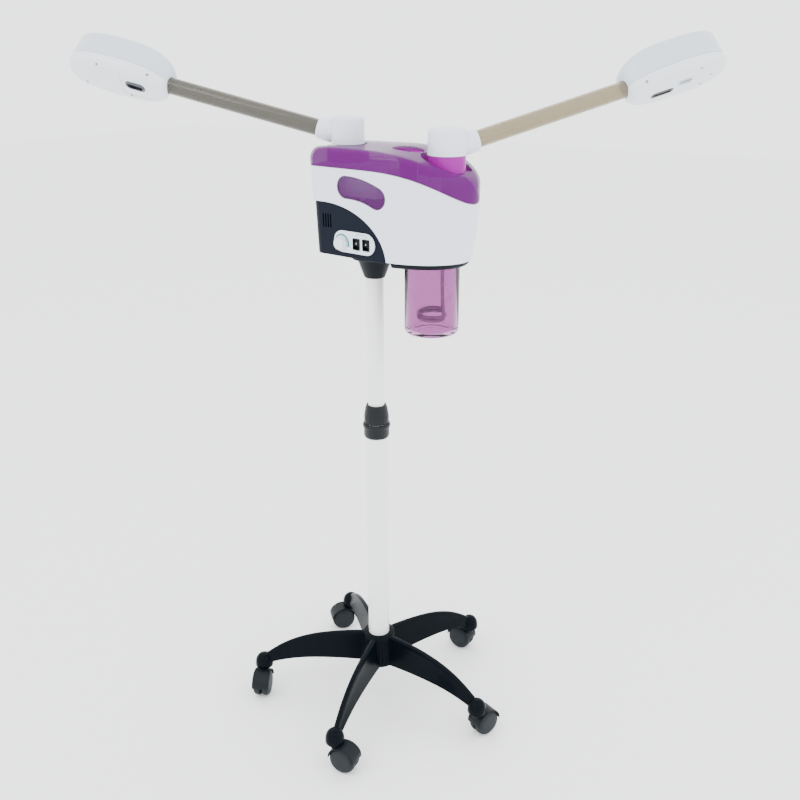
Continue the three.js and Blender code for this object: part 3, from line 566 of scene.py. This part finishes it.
# --- white shell
# The glossy white wall of the casing. It stops at a falling seam under the clear cover, and is
# open for the level window and, at the lower rear, for the dark housing.
white_gloss = surface("white_gloss", (0.70, 0.74, 0.83), 0.22, 0.03, 90, 0.05, Coat_Weight=0.3)
SHELL_WALL, SHELL_FOOT, SEAM_GAP = 3, 849, 0.2


def below_seam(u, share, inset):
    """share 0 is the shell's bottom edge and 1 the seam."""
    top = 915
    for _ in range(3):
        top = seam_at(plan(u, top, 0)[0]) - SEAM_GAP
    return SHELL_FOOT + share * (top - SHELL_FOOT)


def bean(grow):
    """The level window's outline in X and Z: two round ends joined by a drooping band."""
    (x0, z0, r0), (x1, z1, r1) = (-8, 955, 17.5 + grow), (50, 943.5, 17 + grow)

    def arc(x, z, r, first, last, count=18):
        turns = [radians(first + (last - first) * k / count) for k in range(count + 1)]
        return [(x + r * cos(a), z + r * sin(a)) for a in turns]

    def bow(start, middle, end, count=12):
        return [tuple((1 - t) ** 2 * a + 2 * t * (1 - t) * b + t * t * c
                      for a, b, c in zip(start, middle, end))
                for t in ((k + 1) / (count + 1) for k in range(count))]

    left, right = arc(x0, z0, r0, 80, 258), arc(x1, z1, r1, 250, 422)
    return (left + bow(left[-1], (22, 938 - grow), (x1 - 9, z1 - r1 + 2)) + right
            + bow(right[-1], (26, 972 + grow), (x0 + 3, z0 + r0 - 0.3)))


def housing_outline(grow):
    """The quarter ellipse at the lower rear, in X and Z."""
    curve = [(-55 + (121 + grow) * cos(pi / 2 * k / 48), 845 + (84.5 + grow) * sin(pi / 2 * k / 48))
             for k in range(49)]
    return [(-120, 815), (66 + grow, 815)] + curve + [(-120, 929.5 + grow)]


shell = casing_solid([(0, 0.7), (0.006, 0)] + [(k / 12, 0) for k in range(1, 12)]
                     + [(0.994, 0), (1, 0.7)], below_seam)
shell = cut(shell, casing_solid(level_rows(840, 1000, SHELL_WALL, 6), plain_height),
            prism(housing_outline(0), -100, 100, ACROSS), prism(bean(0), 40, 100, ACROSS))
finished(shell, "white_shell_moulding", "casing", white_gloss, "shell_white", "white_shell",
         crisp=28)

# --- dark housing
# A navy moulding set a little inside the shell at the lower rear. It carries the control panel
# and the mains inlet, and four vents are cut through its side.
navy = surface("navy_moulding", (0.0016, 0.0042, 0.0105), 0.5, 0.25, 600, 0.22,
               Specular_IOR_Level=0.1)
HOUSING_INSET = 3.8


def side_y(x, z, inset):
    """Where the straight control side of the casing lies at a place and height."""
    return plan(0.15, z, inset)[1] - FLARE * (x - plan(0.15, z, inset)[0])


PANEL_X, PANEL_Z = 4, 871.5
panel_out = Vector((-FLARE, -1, -SIDE_LEAN / LEAN_HEIGHT)).normalized()
panel_along = Vector((1, -FLARE, 0)).normalized()
panel_up = panel_out.cross(panel_along)
PANEL = Matrix((panel_along, panel_up, panel_out)).transposed().to_4x4()
PANEL.translation = (PANEL_X, side_y(PANEL_X, PANEL_Z, HOUSING_INSET), PANEL_Z)
SWITCHES = [(5, -1.5), (24, -1)]
KNOB = (-25, -3)


def box_outline(x0, x1, y0, y1, radius=0.6, count=4):
    """A rectangle with round corners."""
    points = []
    for cx, cy, first in ((x1 - radius, y0 + radius, -90), (x1 - radius, y1 - radius, 0),
                          (x0 + radius, y1 - radius, 90), (x0 + radius, y0 + radius, 180)):
        points += [(cx + radius * cos(radians(first + 90 * k / count)),
                    cy + radius * sin(radians(first + 90 * k / count))) for k in range(count + 1)]
    return points


def panel_holes(low, high, place=Matrix.Identity(4)):
    """Cutters for both switches and the knob's shaft, placed from the panel's own axes."""
    shaft = drum(3.4, low, high, KNOB, 24)
    shaft.transform(place)
    return [prism(box_outline(x - 6.2, x + 6.2, y - 8.3, y + 8.3), low, high, place)
            for x, y in SWITCHES] + [shaft]


housing = casing_solid([(846.3, HOUSING_INSET + 0.7), (847, HOUSING_INSET)]
                       + level_rows(856, 942, HOUSING_INSET, 10), plain_height)
housing = cut(housing, casing_solid(level_rows(840, 950, HOUSING_INSET + 3, 4), plain_height))
housing = carved(housing, prism(housing_outline(6), -100, 100, ACROSS), "INTERSECT")
vents = [prism(box_outline(-60 + 5 * k, -57.4 + 5 * k, 889, 911, 1.2), 40, 80, ACROSS)
         for k in range(4)]
housing = cut(housing, *vents, prism(box_outline(-90, -60, -14, 14), 859, 880),
              *panel_holes(-8, 5, PANEL))
finished(housing, "dark_housing_moulding", "casing", navy, "housing_navy", "lower_housing",
         crisp=28)

# --- clear cover
# A violet clear moulding over the casing's top. It has a deep cup for the rear elbow, a dished
# nose with a collar for the front elbow, and a filling funnel between them.


def clear(name, tint, gloss, **sockets):
    """A tinted clear plastic or glass, smooth and nearly even."""
    return surface(name, tint, gloss, 0.06, 40, 0.03, **sockets)


violet = clear("violet_clear", (0.13, 0.011, 0.15), 0.18, Alpha=0.6, Specular_IOR_Level=0.06)
magenta = clear("magenta_clear", (0.33, 0.008, 0.31), 0.12, Alpha=0.82, Specular_IOR_Level=0.15)
COVER_EDGE, CUTTER_TOP = 9, 1040
CUP = dict(centre=(-47, 0), radius=31, floor=988)
RECESS = dict(centre=(129, 0), radius=39, floor=980)
FUNNEL = (63, 0)


def above_seam(u, share, inset):
    """share is (how far up from the seam to the round edge, how far down from the top)."""
    up, down = share
    z = 960
    for _ in range(3):
        x = plan(u, z, inset)[0]
        low = seam_at(x) + SEAM_GAP
        high = top_at(x) - down
        z = low + (high - low) * up
    return z


def cover_skin(inset, drop, dip):
    """The cover's solid: wall, round edge and top; dip carries the wall on below the seam."""
    def height(u, share, row_inset):
        return above_seam(u, share, row_inset) - (dip if share[0] == 0 else 0)
    wall = [((t, drop + COVER_EDGE), inset) for t in (0, 0.03, 0.25, 0.5, 0.75, 0.93, 1)]
    edge = [((1, drop + COVER_EDGE * (1 - sin(a))), inset + COVER_EDGE * (1 - cos(a)))
            for a in map(radians, range(15, 91, 15))]
    inner = [((1, drop), inset + COVER_EDGE + extra) for extra in (8, 18)]
    return casing_solid(wall + edge + inner, height)


def funnel_shape(bowl, stem, low, high):
    """The funnel's bowl and stem, or the hollow in them."""
    bm = bmesh.new()
    spun(bm, [(0, low), (stem, low), (stem + 2, 991.5), (bowl - 3.5, 1000.5), (bowl, 1004),
              (bowl, high), (0, high)], 64, FUNNEL)
    return bm


def hollows():
    """Cutters for the cup, the recess and the funnel's bore."""
    return [drum(CUP["radius"], CUP["floor"], CUTTER_TOP, CUP["centre"], 72),
            drum(RECESS["radius"], RECESS["floor"], CUTTER_TOP, RECESS["centre"], 84),
            funnel_shape(24.5, 10, 953, CUTTER_TOP)]


cover = cut(cover_skin(0, 0, 0), cover_skin(3, 3, 10), *hollows())
finished(cover, "clear_cover_moulding", "casing", violet, "cover_purple", "top_cover", crisp=28)

fittings = carved(drum(CUP["radius"] + 2.5, CUP["floor"] - 2.5, 1030, CUP["centre"], 72),
                  drum(RECESS["radius"] + 2.5, RECESS["floor"] - 3, 1030, RECESS["centre"], 84),
                  "UNION")
fittings = carved(fittings, funnel_shape(27, 12, 958.4, 1030), "UNION")
fittings = carved(fittings, cover_skin(0, 0, 24), "INTERSECT")
fittings = carved(fittings, cover_skin(3.05, 3.05, 24), "INTERSECT")
fittings = cut(fittings, *hollows())
fittings = carved(fittings, drum(28.5, RECESS["floor"] - 3, 1003.7, RECESS["centre"], 72), "UNION")
fittings = cut(fittings, drum(15.6, 960, CUTTER_TOP, CUP["centre"], 48),
               drum(16.5, 960, CUTTER_TOP, RECESS["centre"], 48))
finished(fittings, "cover_cups_and_funnel", "casing", magenta, "cover_purple", crisp=28)

cap = bmesh.new()
spun(cap, [(0, 985), (8.6, 985), (9, 985.4), (9, 993), (12.6, 996.8), (13, 997.4), (13, 998.4),
           (12.4, 999), (4.4, 1000), (3.8, 1001), (3.5, 1006.4), (2.8, 1007.6), (0, 1008)],
     48, FUNNEL)
finished(cap, "filler_cap_moulding", "fill_cap", violet, "cover_purple", "fill_cap")

# --- level window
# The clear bean-shaped window in the control side, held in a thin dark rim.
window_violet = clear("window_violet", (0.10, 0.016, 0.12), 0.12, Alpha=0.52,
                      Specular_IOR_Level=0.14)
rim_dark = surface("rim_dark", (0.05, 0.012, 0.065), 0.3, 0.1)


def pane(outside, inside):
    """The part of the wall that lies in the window, between two insets."""
    wall = cut(casing_solid(level_rows(915, 979, outside, 12), plain_height),
               casing_solid(level_rows(910, 985, inside, 6), plain_height))
    return carved(wall, prism(bean(-0.3), 40, 100, ACROSS), "INTERSECT")


finished(pane(0.4, 3), "level_window_pane", "casing", window_violet, "cover_purple",
         "level_window", crisp=28)
window_rim = cut(pane(0.15, 1.2), prism(bean(-1.7), 40, 100, ACROSS))
finished(window_rim, "level_window_rim", "casing", rim_dark, "cover_purple", crisp=28)

# --- control panel
# A pale blue-white stadium plate on the housing's side. Round the steam knob runs a teal scale
# that widens clockwise, and small dots and a short line mark the lamps and settings.
plate_pale = surface("plate_pale", (0.66, 0.75, 0.80), 0.35, 0.04, 500, 0.08)
scale_teal = surface("scale_teal", (0.01, 0.17, 0.22), 0.4, 0.05)
mark_dark = surface("mark_dark", (0.05, 0.07, 0.10), 0.4, 0.05)
switch_black = surface("switch_black", (0.002, 0.0022, 0.0028), 0.35, 0.2, 600, 0.1,
                       Specular_IOR_Level=0.14)
PLATE_FACE = 2.2


def stadium(length, width, centre=(0, 0), count=24):
    """An outline with two half-round ends."""
    reach, r = (length - width) / 2, width / 2
    ends = [(reach, -90), (-reach, 90)]
    return [(centre[0] + x + r * cos(radians(first + 180 * k / count)),
             centre[1] + r * sin(radians(first + 180 * k / count)))
            for x, first in ends for k in range(count + 1)]


plate = prism(stadium(81, 33.5), 0.3, PLATE_FACE)
eased(plate, 0.5, 2, 50)
plate = cut(plate, *panel_holes(-5, 5))
finished(plate, "control_plate", "casing", plate_pale, "plate_blue", "panel_plate", place=PANEL)


def printed(name, outlines, material):
    """Flat marks printed a hair above the plate."""
    marks = bmesh.new()
    for outline in outlines:
        mark = prism(outline, PLATE_FACE - 0.1, PLATE_FACE + 0.06)
        mesh = bpy.data.meshes.new("mark")
        mark.to_mesh(mesh)
        mark.free()
        marks.from_mesh(mesh)
        bpy.data.meshes.remove(mesh)
    return finished(marks, name, "casing", material, "plate_blue", place=PANEL)


def scale_arc(first, last, inside, thin, thick, count=30):
    """A band round the knob that grows from thin to thick."""
    turns = [radians(first + (last - first) * k / count) for k in range(count + 1)]
    outer = [inside + thin + (thick - thin) * k / count for k in range(count + 1)]
    return ([(KNOB[0] + inside * cos(a), KNOB[1] + inside * sin(a)) for a in reversed(turns)]
            + [(KNOB[0] + r * cos(a), KNOB[1] + r * sin(a)) for a, r in zip(turns, outer)])


def dot(x, y, r):
    """A round mark's outline."""
    return [(x + r * cos(2 * pi * k / 16), y + r * sin(2 * pi * k / 16)) for k in range(16)]


printed("knob_scale", [scale_arc(205, -20, 12.2, 1.2, 3.6)], scale_teal)
printed("plate_marks", [dot(5, 11.5, 1), dot(24, 12, 1), dot(-37.5, -1.5, 0.8), dot(5, -13, 0.8),
                        dot(24, -12.6, 0.8), stadium(17, 0.7, (14.5, 13.9), 6)], mark_dark)

# Each switch is a black frame with a box behind it and a rocker that tips on a pin inside it.
ROCKER_TIP = radians(9)
for number, (x, y) in enumerate(SWITCHES, 1):
    body = prism(box_outline(x - 6.9, x + 6.9, y - 9, y + 9, 1.2), PLATE_FACE + 0.3, 3.7)
    body = carved(body, prism(box_outline(x - 5.9, x + 5.9, y - 8, y + 8), -17, 3), "UNION")
    body = cut(body, prism(box_outline(x - 5.3, x + 5.3, y - 7.5, y + 7.5), -9.5, 5))
    eased(body, 0.25, 2, 60)
    finished(body, f"switch_frame_{number}", "casing", switch_black, "collar_black",
             f"switch_body_{number}", place=PANEL)
    face = [(-6.9, 2.4), (-3.5, 3.6), (0, 5.6), (3.5, 3.6), (6.9, 2.4)]
    back = [(7 * cos(radians(a)), 7 * sin(radians(a))) for a in range(16, -197, -10)]
    rocker = prism(face + back, -5, 5, ENDWAYS)
    eased(rocker, 0.3, 2, 40)
    tipped = PANEL @ Matrix.Translation((x, y, -2)) @ Matrix.Rotation(ROCKER_TIP, 4, "X")
    finished(rocker, f"switch_key_{number}", f"switch_rocker_{number}", switch_black,
             "collar_black", f"rocker_{number}", place=tipped)
    bar = bmesh.new()
    block(bar, Matrix.Translation((0, 1.9, 4.52)) @ Matrix.Rotation(radians(-29.7), 4, "X"),
          (0.8, 2.4, 0.4))
    finished(bar, f"switch_mark_{number}", f"switch_rocker_{number}", plate_pale, "plate_blue",
             place=tipped)

# The white steam knob: a stepped disc on a shaft, with a raised bar to grip.
knob = bmesh.new()
spun(knob, [(0, 2.7), (10.2, 2.7), (10.9, 3.3), (11, 6.6), (10.4, 7.2), (9.7, 7.4), (9.5, 10),
            (8.8, 11.2), (7.8, 11.6), (0, 11.8)], 64)
block(knob, Matrix.Rotation(radians(118), 4, "Z") @ Matrix.Translation((0, 0, 11.6)),
      (15, 2.6, 0.8))
spun(knob, [(0, -8), (3, -8), (3, 3), (0, 3)], 24)
finished(knob, "steam_knob_moulding", "knob", white_gloss, "shell_white", "steam_knob",
         place=PANEL @ Matrix.Translation((*KNOB, 0)))

# --- mains inlet
# A black socket with its flange outside the housing's rear end and three blades in its well.
inlet = prism(box_outline(-82, -56, -13.6, 13.6, 2), 859.4, 879.6)
flange = prism(box_outline(-16, 16, 856.5, 882.5, 2.5), -82.4, -79.6, ENDWAYS)
inlet = carved(inlet, flange, "UNION")
inlet = cut(inlet, prism(box_outline(-11, 11, 862, 877, 2), -90, -68, ENDWAYS))
eased(inlet, 0.3, 2, 50)
for y, z in ((-6, 868), (0, 872), (6, 868)):
    block(inlet, Matrix.Translation((-72, y, z)), (9, 2, 5))
finished(inlet, "mains_inlet_socket", "casing", switch_black, "collar_black", "mains_inlet")

# --- inside the casing
# What shows dimly through the clear cover and the window: the white cold-mist tank, the steam
# head over the jar, and the pieces below them that keep their plain shapes.
tank = prism(box_outline(-66, 40, -46, 46, 12, 8), 938, 978)
tank = cut(tank, prism(box_outline(-63.5, 37.5, -43.5, 43.5, 10, 8), 941, 990))
eased(tank, 0.5, 2, 60)
finished(tank, "mist_tank", "casing", white_gloss, "shell_white", "cold_mist_tank")

steam_head = bmesh.new()
spun(steam_head, [(9, 913), (30, 887), (30, 876), (46.4, 876), (47, 876.6), (47, 884),
                  (45.5, 887), (40, 895), (30, 905), (16, 914), (14, 919), (13, 975), (9, 975),
                  (9, 913)], 56, JAR)
finished(steam_head, "steam_head_moulding", "casing", white_gloss, "shell_white", "boiler_head")

steel_plain = surface("steel_plain", (0.55, 0.56, 0.57), 0.32, 0.1, 500, 0.1, Metallic=1.0)
chrome = surface("chrome_plate", (0.80, 0.81, 0.83), 0.09, 0.05, 120, 0.04, Metallic=1.0)
bush_black = surface("bush_black", (0.03, 0.03, 0.032), 0.5, 0.2)
board_green = surface("board_green", (0.02, 0.13, 0.06), 0.4, 0.3, 90, 0.3)
rubber_pale = surface("rubber_pale", (0.62, 0.58, 0.55), 0.6, 0.1, 300, 0.2)
plain_nodes = {"hub_bolt": steel_plain, "column_bush": bush_black, "transformer": steel_plain,
               "circuit_board": board_green, "mist_atomiser": chrome, "jar_gasket": rubber_pale}
plain_nodes.update({f"caster_axle_{k}": steel_plain for k in range(1, 6)})
for name, material in plain_nodes.items():
    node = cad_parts[name]
    if not node.material_slots:
        node.data.materials.append(material)
    for held in node.material_slots:
        held.material = material

# --- boiling jar
# A thick blown jar, faintly pink, with a moulded collar at its mouth and a rounded foot. Water
# marks are printed on its side: a small dot for full and a line under it.
jar_pink = clear("jar_pink", (0.53, 0.27, 0.49), 0.03, Transmission_Weight=1.0, IOR=1.3)
# The heater's chrome is tinted dark as a painted reflection of the dark surroundings it mirrors.
heater_chrome_painted_reflection = surface("heater_chrome_painted_reflection", (0.36, 0.34, 0.38), 0.16, 0.05, 120, 0.04, Metallic=1)
jar = bmesh.new()
spun(jar, [(0, 731.5), (30, 731.5), (34, 730.2), (37, 730), (39.6, 730.4), (41.6, 731.8),
           (42.6, 734), (43, 738), (43, 858), (42.4, 859), (42.4, 861), (43, 862), (43, 866),
           (42.4, 867), (42.4, 869), (43, 870), (43, 871.6), (42.6, 872), (40, 872), (39.5, 871.4),
           (39.5, 742), (38.8, 738.6), (36.6, 736), (33, 735), (0, 735)], 96, JAR)
finished(jar, "boiling_jar", "jar", jar_pink, "jar_glass", "glass_jar")

mark_red = surface("mark_red", (0.45, 0.02, 0.06), 0.4, 0.05)
marks = bmesh.new()
MARK_AZIMUTH = -62
for z, wide, tall in ((846, 2.6, 2.6), (828, 9, 1.2)):
    place = (Matrix.Translation((*JAR, z)) @ Matrix.Rotation(radians(MARK_AZIMUTH), 4, "Z")
             @ Matrix.Translation((42.98, 0, 0)) @ Matrix.Rotation(pi / 2, 4, "Y"))
    bmesh.ops.create_cone(marks, cap_ends=True, segments=20, radius1=0.5, radius2=0.5, depth=0.12,
                          matrix=place @ Matrix.Diagonal((tall, wide, 1, 1)))
finished(marks, "jar_marks", "jar", mark_red, "jar_glass")

# The heater: a chromed sheathed rod that comes down from the steam head in two legs and makes
# two turns just above the jar's floor.
COIL_RADIUS, COIL_LOW, LEG_RADIUS, BEND_RADIUS = 22, 752, 17, 18.4
FIRST_TURN, COIL_TURN = radians(47), 4 * pi - radians(28)


def coil_place(angle, radius, z):
    """A place at an angle and radius about the jar's middle."""
    return (JAR[0] + radius * cos(angle), radius * sin(angle), z)


route = [coil_place(FIRST_TURN, LEG_RADIUS, z) for z in (886, 860, 835, 812, 792)]
route.append(coil_place(FIRST_TURN + 0.02, BEND_RADIUS, COIL_LOW + 19))
route += [coil_place(FIRST_TURN + 0.3 + (COIL_TURN - 0.6) * k / 48, COIL_RADIUS,
                     COIL_LOW + 9 - 9 * k / 48) for k in range(49)]
route.append(coil_place(FIRST_TURN + COIL_TURN - 0.02, BEND_RADIUS, COIL_LOW + 15))
route += [coil_place(FIRST_TURN + COIL_TURN, LEG_RADIUS, z) for z in (790, 812, 835, 860, 886)]
coil_curve = bpy.data.curves.new("coil", "CURVE")
coil_curve.dimensions = "3D"
coil_curve.bevel_depth, coil_curve.bevel_resolution, coil_curve.resolution_u = 2.6, 4, 5
spline = coil_curve.splines.new("NURBS")
spline.points.add(len(route) - 1)
for point, place in zip(spline.points, route):
    point.co = (*place, 1)
spline.order_u, spline.use_endpoint_u = 4, True
coil_curve.use_fill_caps = True
coil_holder = linked("coil_curve", coil_curve)
coil = bmesh.new()
coil.from_mesh(coil_holder.evaluated_get(bpy.context.evaluated_depsgraph_get()).to_mesh())
bpy.data.objects.remove(coil_holder)
bmesh.ops.remove_doubles(coil, verts=coil.verts, dist=0.01)
# The rod's dark tint is a painted reflection.
finished(coil, "heater_rod", "casing", heater_chrome_painted_reflection, "chrome", "heater_coil")

# --- arms
# Each arm is a white elbow that turns in the cover and a clear smoked tube that carries steam to
# the head. A head is a white shell with a screwed-on underside cover and its nozzles.
ARMS = {
    "left": dict(x=-47, base=1011.2, top=1053, axis=1023, radius=26.5, azimuth=199.8, pitch=14,
                 reach=296, roll=44),
    "right": dict(x=129, base=1004, top=1043, axis=1012, radius=29, azimuth=47, pitch=15.8,
                  reach=290, roll=-38),
}
# The two tubes are one smoked plastic; the right one's lighter tint is painted light for the bright
# backdrop that shows through it.
tube_tints_painted_light = {"left": (0.21, 0.20, 0.165), "right": (0.50, 0.44, 0.31)}
HEAD_LENGTH, HEAD_WIDEST, HEAD_HALF = 169, 90, 38
HEAD_TOP, HEAD_LOW, SPLIT = 38.5, -22, -4
ALONG = Matrix.Rotation(pi / 2, 4, "Y")       # a turned shape's height laid along the arm


def head_plan(u, inset):
    """A head's outline in plan, u once round it from the root."""
    s = 1 - abs(2 * u - 1)
    if s < 0.5:
        t = cos(pi * s)
        x, y = HEAD_WIDEST * (1 - t), HEAD_HALF * (1 - t ** 2.3) ** 0.36
    else:
        t = sin(pi * (s - 0.5))
        x = HEAD_WIDEST + (HEAD_LENGTH - HEAD_WIDEST) * t
        y = HEAD_HALF * max(0, 1 - t ** 2.3) ** 0.42
    x = inset + x * (HEAD_LENGTH - 2 * inset) / HEAD_LENGTH
    y *= (HEAD_HALF - inset) / HEAD_HALF
    return x, (-y if u < 0.5 else y)


def back_at(x):
    """Height of a head's back, which slopes down over its root."""
    return HEAD_TOP - 12 * max(0, (60 - x) / 60) ** 2.2


def head_solid(rows):
    """A closed solid in the head's outline, from rows of ((kind, height), inset). A height is
    absolute, a depth below the back, or a share of the way up to the back's round edge."""
    def at(u, v):
        k = min(round(v * (len(rows) + 1)), len(rows) + 1)
        (kind, z), inset = rows[min(max(k - 1, 0), len(rows) - 1)]
        x, y = head_plan(u, inset)
        if kind == "below_back":
            z = back_at(x) - z
        elif kind == "share":
            z = SPLIT + 0.4 + z * (back_at(x) - 8 - SPLIT - 0.4)
        return Vector((x, 0 if k in (0, len(rows) + 1) else y, z))
    bm = bmesh.new()
    skin(bm, 144, len(rows) + 1, at)
    bmesh.ops.dissolve_degenerate(bm, edges=bm.edges, dist=0.001)
    bmesh.ops.recalc_face_normals(bm, faces=bm.faces)
    return bm


def tube_hole():
    """A cutter for the hole that the tube enters a head by."""
    hole = drum(13.3, -6, 30, steps=56)
    hole.transform(ALONG)
    return hole


def edge_rows(turns, radius_in, radius_down, extra):
    """A quarter-round edge into the head's back."""
    rows = [(("below_back", radius_down * (1 - sin(radians(a)))), radius_in * (1 - cos(radians(a))))
            for a in turns]
    return rows + [(("below_back", 0), radius_in + e) for e in extra]


NOZZLES = {
    "left": [dict(x=52, y=2, length=30, width=13)],
    "right": [dict(x=58.5, y=8, length=34, width=8), dict(x=94.5, y=-5, length=24, width=12)],
}
SCREWS = {
    "left": [(110, 31, -20.6), (28, 29.4, -13.5), (140, -19, -22), (64, -23, -22)],
    "right": [(24, -28, -13.8), (113, -28, -22), (141, 1, -22), (128, 19, -22)],
}
nozzle_dark = surface("nozzle_dark", (0.03, 0.032, 0.036), 0.3, 0.15, 300, 0.1)
nozzle_metal = surface("nozzle_metal", (0.13, 0.13, 0.145), 0.3, 0.1, 300, 0.1, Metallic=1.0)
# The heads' shells are tinted darker than their undersides as painted shade: both are one white
# plastic.
head_white_painted_shade = surface("head_white_painted_shade", (0.56, 0.62, 0.685), 0.26, 0.03, 90, 0.05, Coat_Weight=0.2)
head_white = surface("head_white", (0.72, 0.75, 0.81), 0.24, 0.03, 90, 0.05, Coat_Weight=0.3)
screw_grey = surface("screw_grey", (0.30, 0.31, 0.33), 0.35, 0.1, 200, 0.1, Metallic=0.6)

for side, arm in ARMS.items():
    swing = Matrix.Translation((arm["x"], 0, arm["axis"]))
    swing = swing @ Matrix.Rotation(radians(arm["azimuth"]), 4, "Z")
    rise = Matrix.Rotation(-radians(arm["pitch"]), 4, "Y")
    reach = swing @ rise
    at_head = (reach @ Matrix.Translation((arm["reach"], 0, 0))
               @ Matrix.Rotation(radians(arm["roll"]), 4, "X"))
    lie = rise @ ALONG

    low, high, r = arm["base"] - arm["axis"], arm["top"] - arm["axis"], arm["radius"]
    elbow = bmesh.new()
    spun(elbow, [(0, low - 18), (15, low - 18), (15, low), (r - 0.6, low), (r, low + 0.6),
                 (r, low + 5.4), (r - 0.5, low + 5.9), (r, low + 6.4), (r, high - 6),
                 (r - 0.5, high - 3.6), (r - 1.8, high - 1.7), (r - 3.8, high - 0.5),
                 (r - 6, high), (0, high)], 72)
    spout = bmesh.new()
    spun(spout, [(0, 0), (16.6, 0), (17.2, 28), (16.6, 46.6), (15.6, 48), (0, 48)], 56)
    spout.transform(lie)
    spout = cut(spout, prism([(-60, -40), (80, -40), (80, 40), (-60, 40)], -60, low))
    elbow = carved(elbow, spout, "UNION")
    socket = bmesh.new()
    spun(socket, [(0, 2), (10, 2), (10, 24), (13.2, 24), (13.2, 60), (0, 60)], 56)
    socket.transform(lie)
    elbow = cut(elbow, socket)
    finished(elbow, f"{side}_elbow_moulding", f"{side}_arm", white_gloss, "shell_white",
             f"{side}_elbow", place=swing, crisp=28)

    # The right tube's lighter tint is painted light.
    smoked = clear(f"{side}_smoked_tube", tube_tints_painted_light[side], 0.06, Transmission_Weight=0.78, IOR=1.4)
    tube = bmesh.new()
    end = arm["reach"] + 18
    spun(tube, [(11.2, 26), (13, 26), (13, end), (11.2, end), (11.2, 26)], 56)
    finished(tube, f"{side}_tube", f"{side}_arm", smoked, "tube_smoke", f"{side}_arm_tube",
             place=reach @ ALONG)

    shell_rows = [(("at", SPLIT + 0.1), 20), (("at", SPLIT + 0.1), 0.2), (("at", SPLIT + 0.4), 0),
                  (("share", 0.3), 0), (("share", 0.65), 0)]
    head = head_solid(shell_rows + edge_rows(range(0, 91, 15), 6.5, 8, (4, 12)))
    head = cut(head, tube_hole())
    # The shell's darker white is painted shade.
    finished(head, f"{side}_head_moulding", f"{side}_head", head_white_painted_shade, "shell_white",
             f"{side}_head_shell", place=at_head, crisp=28)

    under = head_solid([(("at", HEAD_LOW), 22), (("at", HEAD_LOW), 7.8),
                        (("at", HEAD_LOW + 0.3), 7), (("at", HEAD_LOW + 4), 3.6),
                        (("at", HEAD_LOW + 7.5), 1), (("at", HEAD_LOW + 10.5), 0.3),
                        (("at", SPLIT - 0.6), 0), (("at", SPLIT - 0.3), 0.2)])
    cutters = [tube_hole()]
    if side == "left":
        cutters.append(prism(box_outline(27, 76, -21, 25, 5, 6), HEAD_LOW - 3, HEAD_LOW + 1))
    for nozzle in NOZZLES[side]:
        mouth = stadium(nozzle["length"], nozzle["width"], (nozzle["x"], nozzle["y"]), 16)
        cutters.append(prism(mouth, HEAD_LOW - 5, HEAD_LOW + 16))
    screws = bmesh.new()
    for x, y, z in SCREWS[side]:
        lean = 62 if z > -18 else 40 if z > -21.5 else 0
        seat = (Matrix.Translation((x, y, z))
                @ Matrix.Rotation(radians(lean if y > 0 else -lean), 4, "X"))
        pit = bmesh.new()
        spun(pit, [(0, -4), (2.3, -4), (2.3, 1.6), (0, 1.6)], 20)
        pit.transform(seat)
        cutters.append(pit)
        bmesh.ops.create_cone(screws, cap_ends=True, segments=20, radius1=1.7, radius2=2.1, depth=1,
                              matrix=seat @ Matrix.Translation((0, 0, 1.2)))
    under = cut(under, *cutters)
    finished(under, f"{side}_head_underside", f"{side}_head", head_white, "shell_white",
             f"{side}_head_cover", place=at_head, crisp=28)
    finished(screws, f"{side}_head_screws", f"{side}_head", screw_grey, "steel", place=at_head)

    for number, nozzle in enumerate(NOZZLES[side], 1):
        middle, length, width = (nozzle["x"], nozzle["y"]), nozzle["length"], nozzle["width"]
        seat = HEAD_LOW + (0.7 if side == "left" else 0)

        def oval(grow, low, high):
            """The nozzle's outline, wider and longer by grow, between two heights."""
            return prism(stadium(length + grow, width + grow, middle, 16), low, high)

        lip = carved(oval(-0.6, HEAD_LOW - 0.8, HEAD_LOW + 10),
                     oval(8, HEAD_LOW + 2.9, HEAD_LOW + 5), "UNION")
        lip = cut(lip, oval(-3.4, HEAD_LOW - 5, HEAD_LOW + 12))
        bezel = cut(oval(4, seat - 0.5, seat + 0.6), oval(-1, seat - 2, seat + 2))
        lip = carved(lip, bezel, "UNION")
        eased(lip, 0.3, 2, 60)
        # The right head's second lip and the left throats also take the shells' darker white, which
        # is painted shade.
        shine = nozzle_metal if side == "left" else nozzle_dark if number == 1 else head_white_painted_shade
        finished(lip, f"{side}_nozzle_lip_{number}", f"{side}_head", shine, "chrome",
                 f"{side}_nozzle_{number}", place=at_head)
        throat = oval(-3.6, HEAD_LOW + 8, HEAD_LOW + 9)
        inside = head_white_painted_shade if side == "left" else nozzle_dark
        finished(throat, f"{side}_nozzle_throat_{number}", f"{side}_head", inside, "collar_black",
                 place=at_head)
